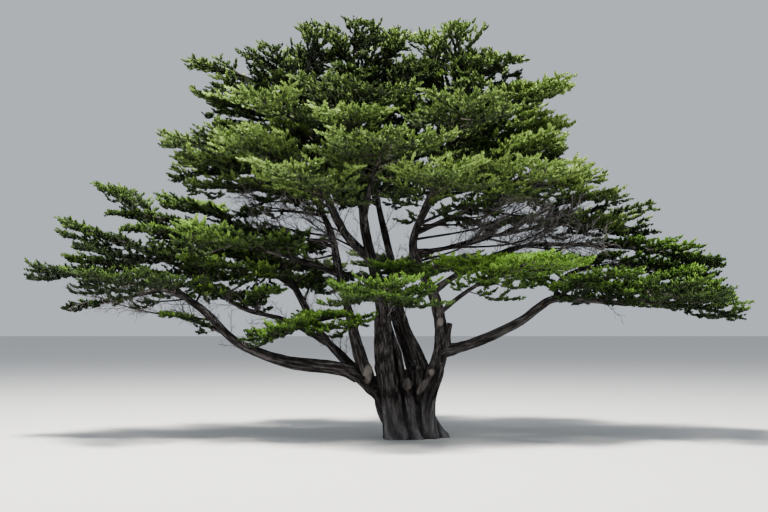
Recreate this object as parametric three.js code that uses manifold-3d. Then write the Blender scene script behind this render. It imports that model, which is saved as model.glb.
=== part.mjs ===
import * as THREE from "three";
import { mergeVertices } from "three/addons/utils/BufferGeometryUtils.js";
import Module from "manifold-3d";

// A wide old coast cypress: a short fluted bole that divides low into many stems, long low boughs to both
// sides, and flat shelves of foliage stacked up to a ragged top.
// Millimetres, +Z up. The origin is the middle of the bole's flat cut at ground level, -Y is the front and
// +X is the side of the longest low bough.

const wasm = await Module();
wasm.setup();

// Driving sizes of the whole tree.
const CLEAR = 0.3; // gap between two pieces that touch
const BURIED = 260; // how far a stem's centreline starts under the ground, before the flat cut
const FLARE = 0.42; // share that the foot of a stem widens by, at the ground
const FLARE_HEIGHT = 420; // height over which that widening dies away
const BOLE_SIDES = 9;
const BOLE_RINGS = 4;
const LIMB_SIDES = 6;
const FIRST_SEED = 100;
const WELD = 3; // corners nearer than this are drawn together where pieces are fused

// Sizes of the foliage. Shares are of the mass that a piece belongs to.
const TWIG_SIDES = 3;
const TWIG_GIRTH = 26;
const TWIG_PAIRS = 2; // twigs leave a mass's stem in pairs, one to each side
const SPRAY_SLENDER = 0.46; // width of a spray for its length
const SPRAY_THICK = 0.18; // thickness of a spray for its length
const CORE_LENGTH = 0.8;
const CORE_WIDTH = 0.8;
const CORE_DEPTH = 0.8;
const UNEVEN = { least: 0.85, most: 1.2 }; // how far a corner of a core is in or out of its smooth shape
const FLATNESS = 2.4; // how much a mass's space is wider than it is deep
const SPRAY_WAIST = 0.36; // where along its length a spray is widest
const CORE_PLACE = 0.5; // where along the leafy part of its stem a mass's core is centred
const LEADER_PLACE = 0.3; // the same in a steep mass, whose point stands free
const ARCH = 0.2; // how far a mass's stem arches for its length, where its row doesn't say
const LEVELLING = 0.45; // a mass lies that much more level than its stem
const STEEP = 0.75; // unless the stem climbs more steeply than this
const RISE = 80; // how far a spray may stand above the top of its mass
const SHORTEST = 0.35; // a spray cut shorter than this share of its length is left out
const END_SPRAY_ROOT = 0.7; // where on a mass's stem its furthest spray starts
const TWIGS_END = 0.7; // how far out the last twigs leave a mass's stem
const SIDE_SPRAY_TURN = 0.75; // angle between a twig's end spray and its side spray
const TOP_SPRAYS = [[0.3, 0.22], [0.65, -0.2]]; // places of the upper sprays, along and across a mass
const SPRAY_SIZE = { perLength: 0.2, perWidth: 0.22 }; // a spray's length from its mass's length and width
const PAIR_PLACE = 0.5; // where a pair of twigs stands in its own stretch of the stem
const PAIR_SHIFT = 0.2; // how far the two twigs of a pair are moved apart along the stem
const TWIG_AHEAD = { first: 0.25, more: 0.75 }; // how much the first twigs lean forward, and the last ones more
const TWIG_TILT = 0.1; // how much twigs tilt up or down
const TWIG_REACH = 0.5; // length of a twig as a share of half the mass's width
const OUTER_SPRAY = { least: 0.6, size: [0.95, 1.05], root: 0.9 }; // at a twig's end
const TURNED_SPRAY = { rise: 0.3, size: [0.9, 1.2], root: 0.6 }; // turned forward off a twig
const TOP_SPRAY = { lift: 0.12, rise: 0.5 }; // how high an upper spray's root is, and how steeply it climbs
const STEM_TAPER = { perLength: 0.012, least: 12, tip: 14 }; // radius of a mass's own stem
const STEM_END = 0.8; // how far the stem itself runs into its mass
const ROOM = 15; // least gap between one mass's foliage and another's, or a limb

// A seeded source of numbers from 0 to 1, so that the tree is the same each time.
function seeded(seed) {
  let state = seed >>> 0;
  return () => {
    state = (state + 0x6d2b79f5) >>> 0;
    let mixed = Math.imul(state ^ (state >>> 15), 1 | state);
    mixed = (mixed + Math.imul(mixed ^ (mixed >>> 7), 61 | mixed)) ^ mixed;
    return ((mixed ^ (mixed >>> 14)) >>> 0) / 4294967296;
  };
}

// Turns a closed three.js geometry into a solid that can be joined and cut.
function solidOf(geometry) {
  geometry.deleteAttribute("normal");
  geometry.deleteAttribute("uv");
  const merged = mergeVertices(geometry, 1e-3);
  return new wasm.Manifold(
    new wasm.Mesh({
      numProp: 3,
      vertProperties: merged.attributes.position.array,
      triVerts: new Uint32Array(merged.index.array),
    }),
  );
}

// Turns a solid back into a three.js geometry.
function geometryOf(solid) {
  const { numProp, numVert, vertProperties, triVerts } = solid.getMesh();
  const places = new Float32Array(numVert * 3);
  for (let i = 0; i < numVert; i++) {
    places.set(vertProperties.subarray(i * numProp, i * numProp + 3), i * 3);
  }
  const geometry = new THREE.BufferGeometry();
  geometry.setAttribute("position", new THREE.BufferAttribute(places, 3));
  geometry.setIndex(new THREE.BufferAttribute(triVerts, 1));
  geometry.computeVertexNormals();
  return geometry;
}

// Keeps the largest body of a solid: loose scraps go, and a hollow that joining sealed is filled.
function largestBody(solid) {
  const bodies = solid.decompose();
  return bodies.reduce((best, body) => (body.volume() > best.volume() ? body : best));
}

function boxesMeet(a, b, margin) {
  const [p, q] = [a.boundingBox(), b.boundingBox()];
  return [0, 1, 2].every(
    (k) => p.min[k] - margin < q.max[k] && q.min[k] - margin < p.max[k],
  );
}

// A round tapering limb along a curve. `grow` makes it that much fatter and longer, for cutting clearances.
function sweep({ curve, girth, from = 0, to = 1, sides, rings, grow = 0 }) {
  const tube = new THREE.CylinderGeometry(1, 1, 1, sides, rings);
  const place = tube.attributes.position;
  const chord = curve.getPoint(to).sub(curve.getPoint(from));
  const spans = chord.toArray().map(Math.abs);
  const across = new THREE.Vector3();
  across.setComponent(spans.indexOf(Math.min(...spans)), 1);
  for (let i = 0; i < place.count; i++) {
    const share = place.getY(i) + 0.5;
    const t = from + (to - from) * share;
    const tangent = curve.getTangent(t);
    const side = new THREE.Vector3().crossVectors(tangent, across).normalize();
    const other = new THREE.Vector3().crossVectors(side, tangent);
    const radius = girth(t) + grow;
    const point = curve
      .getPoint(t)
      .addScaledVector(side, place.getX(i) * radius)
      .addScaledVector(other, place.getZ(i) * radius);
    if (share < 1e-6) point.addScaledVector(tangent, -grow);
    if (share > 1 - 1e-6) point.addScaledVector(tangent, grow);
    place.setXYZ(i, point.x, point.y, point.z);
  }
  return solidOf(tube);
}

// The main stems rise from the ground inside the bole and leave it at `fork`, a share of their length.
// Each path starts with the stem's foot; `thick` and `thin` are its radii at the foot and the tip.
const stems = {
  centre_stem: {
    path: [[-430, -230], [-800, -280, 1200], [-1030, -200, 3000], [-1100, -80, 4600],
      [-1650, 200, 7000], [-1950, 450, 9500], [-2200, 500, 13100]],
    thick: 470, thin: 50, fork: 0.3,
  },
  left_low_bough: {
    path: [[-600, 0], [-1080, -40, 1200], [-2150, -100, 2330], [-4500, -250, 2730],
      [-6150, -350, 3320], [-7300, -500, 4400], [-9000, -700, 5700]],
    thick: 330, thin: 90, fork: 0.335,
  },
  left_riser: {
    path: [[-520, 150], [-1180, 0, 1250], [-1700, -150, 2400], [-2130, -150, 3800],
      [-2620, 0, 5750], [-2950, 150, 7300], [-3700, 300, 8900]],
    thick: 300, thin: 80, fork: 0.345,
  },
  left_back_stem: {
    path: [[-330, 430], [-1000, 480, 1400], [-2150, 560, 2450], [-3250, 700, 3600],
      [-4250, 850, 5300], [-4900, 1000, 6400]],
    thick: 280, thin: 70, fork: 0.36,
  },
  back_stem: {
    path: [[280, 330], [400, 330, 1300], [350, 350, 2500], [-380, 650, 4200],
      [-700, 1150, 6100], [-1200, 1900, 8300], [-1500, 2600, 10700]],
    thick: 260, thin: 70, fork: 0.34,
  },
  rear_bough: {
    path: [[0, 560], [60, 620, 1300], [-50, 750, 2450], [-550, 1300, 3900],
      [-800, 2700, 5300], [-700, 4300, 6200]],
    thick: 250, thin: 80, fork: 0.4,
  },
  right_stem: {
    path: [[430, -80], [500, -120, 1200], [960, -90, 3100], [860, -30, 4700],
      [0, 200, 6900], [930, 300, 9200], [1800, 300, 12700]],
    thick: 360, thin: 50, fork: 0.27,
  },
};

// Parts of the bole between and below the stems: the old wood that has filled the fork, and one root foot.
const boleParts = [
  { path: [[-60, 90], [-150, 90, 900], [-300, 160, 1700], [-420, 260, 2350]], thick: 640, thin: 220 },
  { path: [[1080, 300, -180], [760, 240, 420], [420, 160, 1150]], thick: 210, thin: 190 },
];

// Boughs that leave another limb's side: `on` names it and `at` is the share of its length.
const boughs = {
  left_fork: {
    on: "left_back_stem", at: 0.56,
    path: [[-4600, 600, 4180], [-6200, 450, 4650], [-7700, 300, 5750]],
    thick: 110, thin: 65,
  },
  centre_left_stem: {
    on: "centre_stem", at: 0.62,
    path: [[-2400, 150, 7250], [-3050, 0, 8500], [-3450, -200, 10200], [-3900, -300, 12300]],
    thick: 200, thin: 50,
  },
  right_low_bough: {
    on: "right_stem", at: 0.325,
    path: [[2080, -150, 3370], [3800, -220, 4150], [4950, -260, 4930], [6100, -250, 4900],
      [7600, -200, 4750]],
    thick: 210, thin: 80,
    stub: { at: 0.05, tip: [1290, -190, 4060], thick: 105, thin: 80 },
  },
  right_upper_fork: {
    on: "right_low_bough", at: 0.62,
    path: [[5200, 0, 5500], [5900, 250, 5950], [7000, 500, 6150]],
    thick: 95, thin: 60,
  },
  right_low_fan: {
    on: "right_stem", at: 0.54,
    path: [[1700, 450, 5900], [2900, 800, 6500], [4300, 1100, 6950], [6100, 1300, 7000]],
    thick: 120, thin: 60,
  },
  right_mid_fan: {
    on: "right_stem", at: 0.645,
    path: [[970, 450, 6750], [2400, 800, 7150], [4500, 1200, 7600]],
    thick: 100, thin: 60,
  },
  right_high_fan: {
    on: "right_stem", at: 0.7,
    path: [[1500, 0, 7900], [2750, -400, 8450], [4100, -500, 8900]],
    thick: 100, thin: 60,
  },
};

// The masses of foliage: the limb that each stands on, the share of its length, the mass's furthest point,
// its size across, level and upright, the share of its stem that is bare, and how far that stem arches.
const onLimb = (on, at, tip, width, depth, bare, arch = ARCH) => ({ on, at, tip, width, depth, bare, arch });
const masses = {
  left_low_tip: onLimb("left_low_bough", 1, [-13800, -200, 5900], 3000, 1300, 0.06, 0),
  left_shelf: onLimb("left_fork", 1, [-12550, -900, 7500], 4600, 1700, 0.05, 0.1),
  left_under_shelf: onLimb("left_low_bough", 0.9, [-10900, -4000, 5400], 3600, 1400, 0.08, 0.1),
  left_spur: onLimb("left_fork", 0.9, [-11500, 1700, 9250], 2000, 1500, 0.35),
  left_crest: onLimb("left_back_stem", 1, [-9500, 3000, 8700], 3600, 1700, 0.15),
  left_inner_shelf: onLimb("left_riser", 0.67, [-8300, -2300, 6900], 4400, 1900, 0.2, 0.1),
  left_inner_low: onLimb("left_back_stem", 0.88, [-8300, 1500, 5500], 3400, 1300, 0.05, 0.1),
  front_low_pad: onLimb("left_riser", 0.55, [-5700, -2600, 3300], 3000, 1200, 0.05),
  front_pad: onLimb("centre_stem", 0.44, [-1300, -6400, 4900], 5000, 1500, 0.25, 0.15),
  front_right_pad: onLimb("right_stem", 0.47, [5100, -3900, 6000], 4600, 1500, 0.08),
  right_low_tip: onLimb("right_low_bough", 1, [11900, 0, 4250], 3500, 1300, 0.02, 0.1),
  right_low_front: onLimb("right_low_bough", 0.86, [10900, -3300, 5050], 3600, 1500, 0.08, 0.1),
  right_low_back: onLimb("right_upper_fork", 1, [11100, 1900, 5850], 3700, 1300, 0.02, 0.1),
  right_mid_tip: onLimb("right_low_fan", 1, [11300, 400, 6300], 3400, 1300, 0.05, 0.05),
  right_shoulder: onLimb("right_mid_fan", 1, [9000, 2200, 7400], 4400, 2200, 0.02),
  right_spur: onLimb("right_mid_fan", 0.85, [7450, -900, 8500], 2000, 1100, 0.2),
  right_shelf: onLimb("right_high_fan", 1, [6500, 500, 9700], 3800, 1400, 0.02),
  right_front_shelf: onLimb("right_high_fan", 0.75, [4400, -3900, 8900], 4400, 1300, 0.1),
  crown_left_low: onLimb("left_riser", 1, [-9000, 700, 9350], 4400, 1700, 0.05),
  crown_left_mid: onLimb("centre_left_stem", 0.55, [-9100, -900, 10400], 4200, 1700, 0.1),
  crown_left_high: onLimb("centre_left_stem", 0.8, [-7600, 1100, 11900], 4400, 1700, 0.08),
  crown_left_top: onLimb("centre_left_stem", 0.9, [-8100, -500, 13350], 3400, 1500, 0.1),
  top_left: onLimb("centre_left_stem", 0.96, [-5700, -1700, 13800], 3600, 2000, 0.02),
  top_left_leader: onLimb("centre_left_stem", 1, [-3450, 900, 15000], 3000, 2400, 0.02),
  top_middle: onLimb("centre_stem", 1, [-2000, -800, 15050], 3400, 2600, 0),
  top_centre: onLimb("centre_stem", 0.95, [100, 700, 14900], 3000, 2400, 0.1),
  top_right_leader: onLimb("right_stem", 1, [1250, -500, 14950], 3200, 2400, 0),
  top_right: onLimb("right_stem", 0.95, [3100, 600, 14200], 3200, 2000, 0.05),
  crown_right_top: onLimb("right_stem", 0.89, [5900, 0, 12800], 4200, 1700, 0.05),
  crown_right_high: onLimb("right_stem", 0.83, [5800, 1100, 11500], 4400, 1500, 0.05),
  crown_right_mid: onLimb("right_stem", 0.78, [5400, -1200, 10300], 4200, 1700, 0.05),
  face_left_top: onLimb("centre_left_stem", 0.78, [-5300, -4200, 11150], 4000, 1600, 0.08),
  face_left_mid: onLimb("centre_left_stem", 0.5, [-6500, -3700, 10000], 4000, 1600, 0.12),
  face_left_low: onLimb("centre_left_stem", 0.3, [-4100, -5200, 8700], 4200, 1500, 0.15),
  face_top: onLimb("centre_stem", 0.86, [-2100, -4200, 11900], 4400, 1700, 0.05),
  face_middle: onLimb("centre_stem", 0.72, [-800, -5600, 9900], 4600, 1700, 0.1),
  face_right_top: onLimb("right_stem", 0.85, [1700, -4500, 11200], 4200, 1700, 0.08),
  face_right_low: onLimb("right_stem", 0.72, [1300, -5100, 8800], 4200, 1500, 0.12),
  rear_low_left: onLimb("rear_bough", 0.85, [-6800, 5900, 6500], 4500, 1500, 0.15),
  rear_low_middle: onLimb("rear_bough", 1, [-500, 8600, 6300], 4800, 1500, 0.05),
  rear_low_right: onLimb("rear_bough", 0.93, [6000, 6200, 6500], 4500, 1500, 0.15),
  rear_left: onLimb("back_stem", 0.85, [-6300, 4800, 9500], 4800, 1800, 0.1),
  rear_right: onLimb("back_stem", 0.88, [3900, 5600, 9700], 4800, 1800, 0.1),
  rear_middle: onLimb("back_stem", 1, [-1600, 6300, 11200], 4800, 1800, 0.02),
  rear_top: onLimb("centre_stem", 0.91, [-500, 4100, 13500], 4600, 1900, 0.1),
};

const vector = ([x, y, z = -BURIED]) => new THREE.Vector3(x, y, z);

// Adds the curve and the radius rule to a limb's sizes. A stem's foot widens into the root flare.
function shapeLimb(limb, start) {
  limb.curve = new THREE.CatmullRomCurve3([...start, ...limb.path.map(vector)], false, "centripetal");
  limb.girth = (t) => {
    const height = Math.max(0, limb.curve.getPoint(t).z);
    const flare = limb.fork ? 1 + FLARE * Math.exp(-height / FLARE_HEIGHT) : 1;
    return (limb.thin + (limb.thick - limb.thin) * (1 - t)) * flare;
  };
  return limb;
}

const limbs = {};
for (const [name, stem] of Object.entries(stems)) limbs[name] = shapeLimb(stem, []);
for (const [name, bough] of Object.entries(boughs)) {
  limbs[name] = shapeLimb(bough, [limbs[bough.on].curve.getPoint(bough.at)]);
}

// The bole is the lower part of every stem and the wood between them, joined and cut flat at the ground.
function makeBole() {
  const feet = Object.values(stems).map((stem) => footOf(stem, 0));
  const fillers = boleParts.map((part) => {
    const shaped = shapeLimb({ ...part, fork: 0 }, []);
    return sweep({ ...shaped, sides: BOLE_SIDES, rings: BOLE_RINGS });
  });
  return largestBody(wasm.Manifold.union([...feet, ...fillers]).trimByPlane([0, 0, 1], 0).simplify(WELD));
}

function footOf(stem, grow) {
  return sweep({ ...stem, from: 0, to: stem.fork, sides: BOLE_SIDES, rings: BOLE_RINGS, grow });
}

// A limb from its fork to its tip, with the broken stub that one of them carries.
function limbBody(limb, grow) {
  const rings = 2 * limb.path.length - 2;
  const body = sweep({ ...limb, from: limb.fork ?? 0, sides: LIMB_SIDES, rings, grow });
  if (!limb.stub) return body;
  const curve = new THREE.LineCurve3(limb.curve.getPoint(limb.stub.at), vector(limb.stub.tip));
  const girth = (t) => limb.stub.thick + (limb.stub.thin - limb.stub.thick) * t;
  return body.add(sweep({ curve, girth, sides: LIMB_SIDES, rings: 1, grow }));
}

const finished = { trunk: makeBole() }; // every solid made so far, by name
const cutters = {}; // the same limbs, fatter by the clearance

for (const [name, stem] of Object.entries(stems)) cutters[name + "_foot"] = footOf(stem, CLEAR);
for (const [name, limb] of Object.entries(limbs)) {
  // A main stem stands off the bole's cut face by the clearance.
  const shift = limb.fork ? limb.curve.getTangent(limb.fork).multiplyScalar(CLEAR).toArray() : [0, 0, 0];
  let body = limbBody(limb, 0).translate(shift);
  for (const [other, cutter] of Object.entries(cutters)) {
    if (other !== name + "_foot" && boxesMeet(body, cutter, 0)) body = body.subtract(cutter);
  }
  finished[name] = largestBody(body);
  cutters[name] = limbBody(limb, CLEAR).translate(shift);
}

// The lie of one mass: its stem's curve, and the three directions of its space.
function frameOf(mass) {
  const foot = limbs[mass.on].curve.getPoint(mass.at);
  const tip = vector(mass.tip);
  const ahead = tip.clone().sub(foot);
  const middle = foot.clone().lerp(tip, 0.5);
  middle.z += mass.arch * ahead.length();
  const curve = new THREE.QuadraticBezierCurve3(foot, middle, tip);
  ahead.normalize();
  const steep = ahead.z > STEEP;
  if (!steep) ahead.z *= LEVELLING;
  ahead.normalize();
  const side = new THREE.Vector3(-ahead.y, ahead.x, 0).normalize();
  const up = new THREE.Vector3().crossVectors(ahead, side);
  const start = curve.getPoint(mass.bare);
  const heart = curve.getPoint(mass.bare + (1 - mass.bare) * (steep ? LEADER_PLACE : CORE_PLACE));
  const ceiling = (steep ? tip.z : Math.max(tip.z, heart.z + mass.depth / 2)) + RISE;
  return { foot, tip, curve, ahead, side, up, start, heart, ceiling };
}

// A spray of foliage as one pointed blade of eight faces, widest a third of the way out.
function spray(root, heading, length, up) {
  const blade = new THREE.OctahedronGeometry(1, 0);
  const place = blade.attributes.position;
  const along = heading.clone().normalize();
  const side = new THREE.Vector3().crossVectors(up, along).normalize();
  const top = new THREE.Vector3().crossVectors(along, side);
  for (let i = 0; i < place.count; i++) {
    const [x, y, z] = [place.getX(i), place.getY(i), place.getZ(i)];
    const reach = x === 0 ? SPRAY_WAIST : (x + 1) / 2;
    const point = root
      .clone()
      .addScaledVector(along, reach * length)
      .addScaledVector(side, (y * length * SPRAY_SLENDER) / 2)
      .addScaledVector(top, (z * length * SPRAY_THICK) / 2);
    place.setXYZ(i, point.x, point.y, point.z);
  }
  return solidOf(blade);
}

// The dense heart of a mass as an uneven lump, before it is cut back to its own space.
function lumpOf(mass, frame, random) {
  const ball = new THREE.IcosahedronGeometry(1, 0);
  const lump = mergeVertices(ball.deleteAttribute("normal").deleteAttribute("uv"));
  const place = lump.attributes.position;
  const half = frame.start.distanceTo(frame.tip) / 2;
  for (let i = 0; i < place.count; i++) {
    const swell = UNEVEN.least + (UNEVEN.most - UNEVEN.least) * random();
    const point = frame.heart
      .clone()
      .addScaledVector(frame.ahead, place.getX(i) * half * CORE_LENGTH * swell)
      .addScaledVector(frame.side, (place.getY(i) * mass.width * CORE_WIDTH * swell) / 2)
      .addScaledVector(frame.up, (place.getZ(i) * mass.depth * CORE_DEPTH * swell) / 2);
    place.setXYZ(i, point.x, point.y, point.z);
  }
  return solidOf(lump);
}

// The stems and lumps of all the masses come first, so that each mass knows the others' space.
const spaces = {};
Object.entries(masses).forEach(([name, mass], i) => {
  const random = seeded(FIRST_SEED + i);
  const frame = frameOf(mass);
  const thick = STEM_TAPER.perLength * frame.foot.distanceTo(frame.tip) + STEM_TAPER.least;
  const girth = (t) => thick + (STEM_TAPER.tip - thick) * t;
  const stemSizes = { curve: frame.curve, girth, from: 0, to: STEM_END, sides: TWIG_SIDES, rings: 3 };
  spaces[name] = {
    mass,
    frame,
    random,
    stem: sweep(stemSizes),
    stemCutter: sweep({ ...stemSizes, grow: ROOM }),
    lump: lumpOf(mass, frame, random),
  };
});

// Cuts a mass's lump back from its neighbours' lumps, half way to each, and clear of limbs and other stems.
for (const [name, space] of Object.entries(spaces)) {
  let core = space.lump;
  for (const [other, neighbour] of Object.entries(spaces)) {
    if (other === name) continue;
    if (boxesMeet(space.lump, neighbour.lump, ROOM)) {
      const apart = space.frame.heart.clone().sub(neighbour.frame.heart);
      const between = space.frame.heart.clone().lerp(neighbour.frame.heart, 0.5);
      const normal = new THREE.Vector3(apart.x, apart.y, apart.z * FLATNESS * FLATNESS).normalize();
      core = core.trimByPlane(normal.toArray(), normal.dot(between) + ROOM);
    }
    if (boxesMeet(core, neighbour.stemCutter, 0)) core = core.subtract(neighbour.stemCutter);
  }
  for (const cutter of Object.values(cutters)) {
    if (boxesMeet(core, cutter, 0)) core = core.subtract(cutter);
  }
  space.taken = [space.stem];
  if (!core.isEmpty()) space.taken.push(largestBody(core));
}

// Whether a spray or twig keeps clear of every limb and of every other mass.
function isFree(piece, name) {
  const near = (other) => boxesMeet(piece, other, ROOM) && piece.minGap(other, ROOM) < ROOM;
  if (Object.values(cutters).some(near)) return false;
  return !Object.entries(spaces).some(([other, space]) => other !== name && space.taken.some(near));
}

// One mass: its stem and core, an end spray, twigs with two sprays each, and sprays out of its top.
function makeMass(name) {
  const { mass, frame, random, taken } = spaces[name];
  const addIfFree = (piece) => {
    const free = isFree(piece, name);
    if (free) taken.push(piece);
    return free;
  };
  const addSpray = (root, heading, length) => {
    const along = heading.clone().normalize();
    const room = Math.max(0, frame.ceiling - root.z);
    const fitted = along.z * length > room ? room / along.z : length;
    if (fitted > length * SHORTEST) addIfFree(spray(root, along, fitted, frame.up));
  };
  const between = ([least, most]) => least + (most - least) * random();
  const onStem = (share) => frame.curve.getPoint(mass.bare + (1 - mass.bare) * share);

  const end = frame.curve.getPoint(END_SPRAY_ROOT);
  addSpray(end, frame.tip.clone().sub(end), end.distanceTo(frame.tip));

  const breadth = mass.width / 2;
  const length = frame.start.distanceTo(frame.tip);
  const size = SPRAY_SIZE.perLength * length + SPRAY_SIZE.perWidth * mass.width;
  for (let pair = 0; pair < TWIG_PAIRS; pair++) {
    for (const hand of [-1, 1]) {
      const share = (pair + PAIR_PLACE + PAIR_SHIFT * hand * (random() - PAIR_SHIFT)) / TWIG_PAIRS;
      const root = onStem(TWIGS_END * share);
      const heading = frame.side
        .clone()
        .multiplyScalar(hand)
        .addScaledVector(frame.ahead, TWIG_AHEAD.first + TWIG_AHEAD.more * share)
        .addScaledVector(frame.up, TWIG_TILT * (random() - PAIR_PLACE))
        .normalize();
      const twigEnd = root.clone().addScaledVector(heading, TWIG_REACH * breadth);
      const curve = new THREE.LineCurve3(root, twigEnd);
      const twig = sweep({ curve, girth: () => TWIG_GIRTH, sides: TWIG_SIDES, rings: 1 });
      if (!addIfFree(twig)) continue;
      const outer = Math.max(OUTER_SPRAY.least * breadth, size) * between(OUTER_SPRAY.size);
      addSpray(root.clone().lerp(twigEnd, OUTER_SPRAY.root), heading, outer);
      const turned = heading.clone().applyAxisAngle(frame.up, -SIDE_SPRAY_TURN * hand);
      turned.addScaledVector(frame.up, TURNED_SPRAY.rise * random());
      addSpray(root.clone().lerp(twigEnd, TURNED_SPRAY.root), turned, size * between(TURNED_SPRAY.size));
    }
  }

  for (const [along, across] of TOP_SPRAYS) {
    const root = onStem(along)
      .addScaledVector(frame.side, across * mass.width)
      .addScaledVector(frame.up, TOP_SPRAY.lift * mass.depth);
    const heading = frame.ahead
      .clone()
      .addScaledVector(frame.side, across)
      .addScaledVector(frame.up, TOP_SPRAY.rise);
    addSpray(root, heading, mass.depth);
  }

  let joined = wasm.Manifold.union(taken).simplify(WELD);
  for (const cutter of Object.values(cutters)) {
    if (boxesMeet(joined, cutter, 0)) joined = joined.subtract(cutter);
  }
  return largestBody(joined);
}

for (const name of Object.keys(masses)) finished[name] = makeMass(name);

const bark = { color: 0x4a4340, roughness: 0.95, metalness: 0 };
const needles = { color: 0x4c6328, roughness: 0.85, metalness: 0 };
const tree = new THREE.Group();
for (const [name, solid] of Object.entries(finished)) {
  const material = new THREE.MeshStandardMaterial(masses[name] ? needles : bark);
  const mesh = new THREE.Mesh(geometryOf(solid), material);
  mesh.name = name;
  tree.add(mesh);
}

export default tree;
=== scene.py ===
from types import SimpleNamespace

import bmesh
import bpy
import numpy as np
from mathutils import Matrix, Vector, noise


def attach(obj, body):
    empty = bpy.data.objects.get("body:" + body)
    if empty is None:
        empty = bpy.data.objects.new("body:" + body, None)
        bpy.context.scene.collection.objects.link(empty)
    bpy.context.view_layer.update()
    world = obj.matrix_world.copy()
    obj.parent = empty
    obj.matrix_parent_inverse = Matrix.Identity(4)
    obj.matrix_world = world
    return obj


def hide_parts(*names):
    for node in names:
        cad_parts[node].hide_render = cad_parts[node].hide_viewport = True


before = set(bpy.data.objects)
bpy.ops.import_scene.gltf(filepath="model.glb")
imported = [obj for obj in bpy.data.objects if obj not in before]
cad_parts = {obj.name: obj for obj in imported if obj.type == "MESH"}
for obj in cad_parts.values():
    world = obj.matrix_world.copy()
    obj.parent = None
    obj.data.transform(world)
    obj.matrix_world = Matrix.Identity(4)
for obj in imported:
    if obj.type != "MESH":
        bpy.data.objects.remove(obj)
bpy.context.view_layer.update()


# The bole. Old wood of several stems that have grown together: fluted, with painted shade in its grooves,
# wide at the foot and cut flat at the ground, with painted light low on it. It is one skin over all the
# stems' feet and the wood between them.

# A stem's girth at its foot and at its tip, the share of it inside the bole, and its path, which starts
# at its place on the ground.
STEMS = {
    "centre_stem": (0.47, 0.05, 0.3, [
        (-0.43, -0.23), (-0.8, -0.28, 1.2), (-1.03, -0.2, 3), (-1.1, -0.08, 4.6), (-1.65, 0.2, 7),
        (-1.95, 0.45, 9.5), (-2.2, 0.5, 13.1)]),
    "left_low_bough": (0.33, 0.09, 0.335, [
        (-0.6, 0), (-1.08, -0.04, 1.2), (-2.15, -0.1, 2.33), (-4.5, -0.25, 2.73), (-6.15, -0.35, 3.32),
        (-7.3, -0.5, 4.4), (-9, -0.7, 5.7)]),
    "left_riser": (0.3, 0.08, 0.345, [
        (-0.52, 0.15), (-1.18, 0, 1.25), (-1.7, -0.15, 2.4), (-2.13, -0.15, 3.8), (-2.62, 0, 5.75),
        (-2.95, 0.15, 7.3), (-3.7, 0.3, 8.9)]),
    "left_back_stem": (0.28, 0.07, 0.36, [
        (-0.33, 0.43), (-1, 0.48, 1.4), (-2.15, 0.56, 2.45), (-3.25, 0.7, 3.6), (-4.25, 0.85, 5.3),
        (-4.9, 1, 6.4)]),
    "back_stem": (0.26, 0.07, 0.34, [
        (0.28, 0.33), (0.4, 0.33, 1.3), (0.35, 0.35, 2.5), (-0.38, 0.65, 4.2), (-0.7, 1.15, 6.1),
        (-1.2, 1.9, 8.3), (-1.5, 2.6, 10.7)]),
    "rear_bough": (0.25, 0.08, 0.4, [
        (0, 0.56), (0.06, 0.62, 1.3), (-0.05, 0.75, 2.45), (-0.55, 1.3, 3.9), (-0.8, 2.7, 5.3),
        (-0.7, 4.3, 6.2)]),
    "right_stem": (0.36, 0.05, 0.27, [
        (0.43, -0.08), (0.5, -0.12, 1.2), (0.96, -0.09, 3.1), (0.86, -0.03, 4.7), (0, 0.2, 6.9),
        (0.93, 0.3, 9.2), (1.8, 0.3, 12.7)]),
}
# The wood between the stems: girth at both ends, and path.
BOLE_PARTS = [
    (0.64, 0.22, [(-0.06, 0.09), (-0.15, 0.09, 0.9), (-0.3, 0.16, 1.7), (-0.42, 0.26, 2.35)]),
    (0.33, 0.1, [(-0.15, 0.05), (-0.34, 0.02, 1.2), (-0.5, 0.02, 2.4), (-0.74, 0, 3.6), (-1.02, 0, 4.9)]),
    (0.34, 0.27, [(0.1, 0.1), (0.14, 0.12, 1.1), (0.16, 0.18, 2.4)]),
    (0.21, 0.19, [(1.08, 0.3, -0.18), (0.76, 0.24, 0.42), (0.42, 0.16, 1.15)]),
]
BURIED = 0.26
FLARE = 0.42
FLARE_HEIGHT = 0.42
BOLE_SIDES = 32
BOLE_STEP = 0.08
BOLE_SKIN = 0.026
SKIN_SMOOTHING = 0.5
SKIN_PASSES = 8
STEM_FLUTE = 0.05
STEM_SWELL = 1.03
FORK_PULL = 0.25
FORK_LENGTH = 0.03
PART_FLUTE = 0.06
PART_TURN = 2
# Height over which the painted light on the foot of the bole fades out.
FOOT_LIGHT_HEIGHT = 1.5
FLUTE_DEPTH = 0.1
FLUTE_GRAIN = (2.6, 0.35)
RIDGE_DEPTH = 0.03
RIDGE_GRAIN = (8, 0.8)
FINE_RIDGE_GRAIN = (22, 2.6)
GROOVE_DEPTH = 0.12
GROOVE_WIDTH = 0.16
GROOVE_REACH = 1.45
STEM_SAMPLES = 90
GRAIN_OFFSET = 5
SCAR_SMOOTHNESS = 0.75
# Healed wounds on the front: middle in X and Z, half width and height, lean, how far out, how pale.
SCARS = [
    ((0.33, 1.83), (0.1, 0.34), 0.66, 0.06, 0.6), ((-0.2, 1.92), (0.15, 0.19), 0, 0.05, 0.6),
    ((0.65, 2.35), (0.09, 0.1), 0, 0.04, 0.9), ((-1.61, 2.27), (0.14, 0.33), 0, 0.07, 0.9),
    ((0.96, 4.12), (0.11, 0.15), 0.2, 0.04, 0.8), ((-0.55, 1.1), (0.08, 0.3), 0.1, 0.04, 0.3)]


def unit(v):
    return v / np.maximum(np.linalg.norm(v, axis=-1, keepdims=True), 1e-9)


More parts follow.
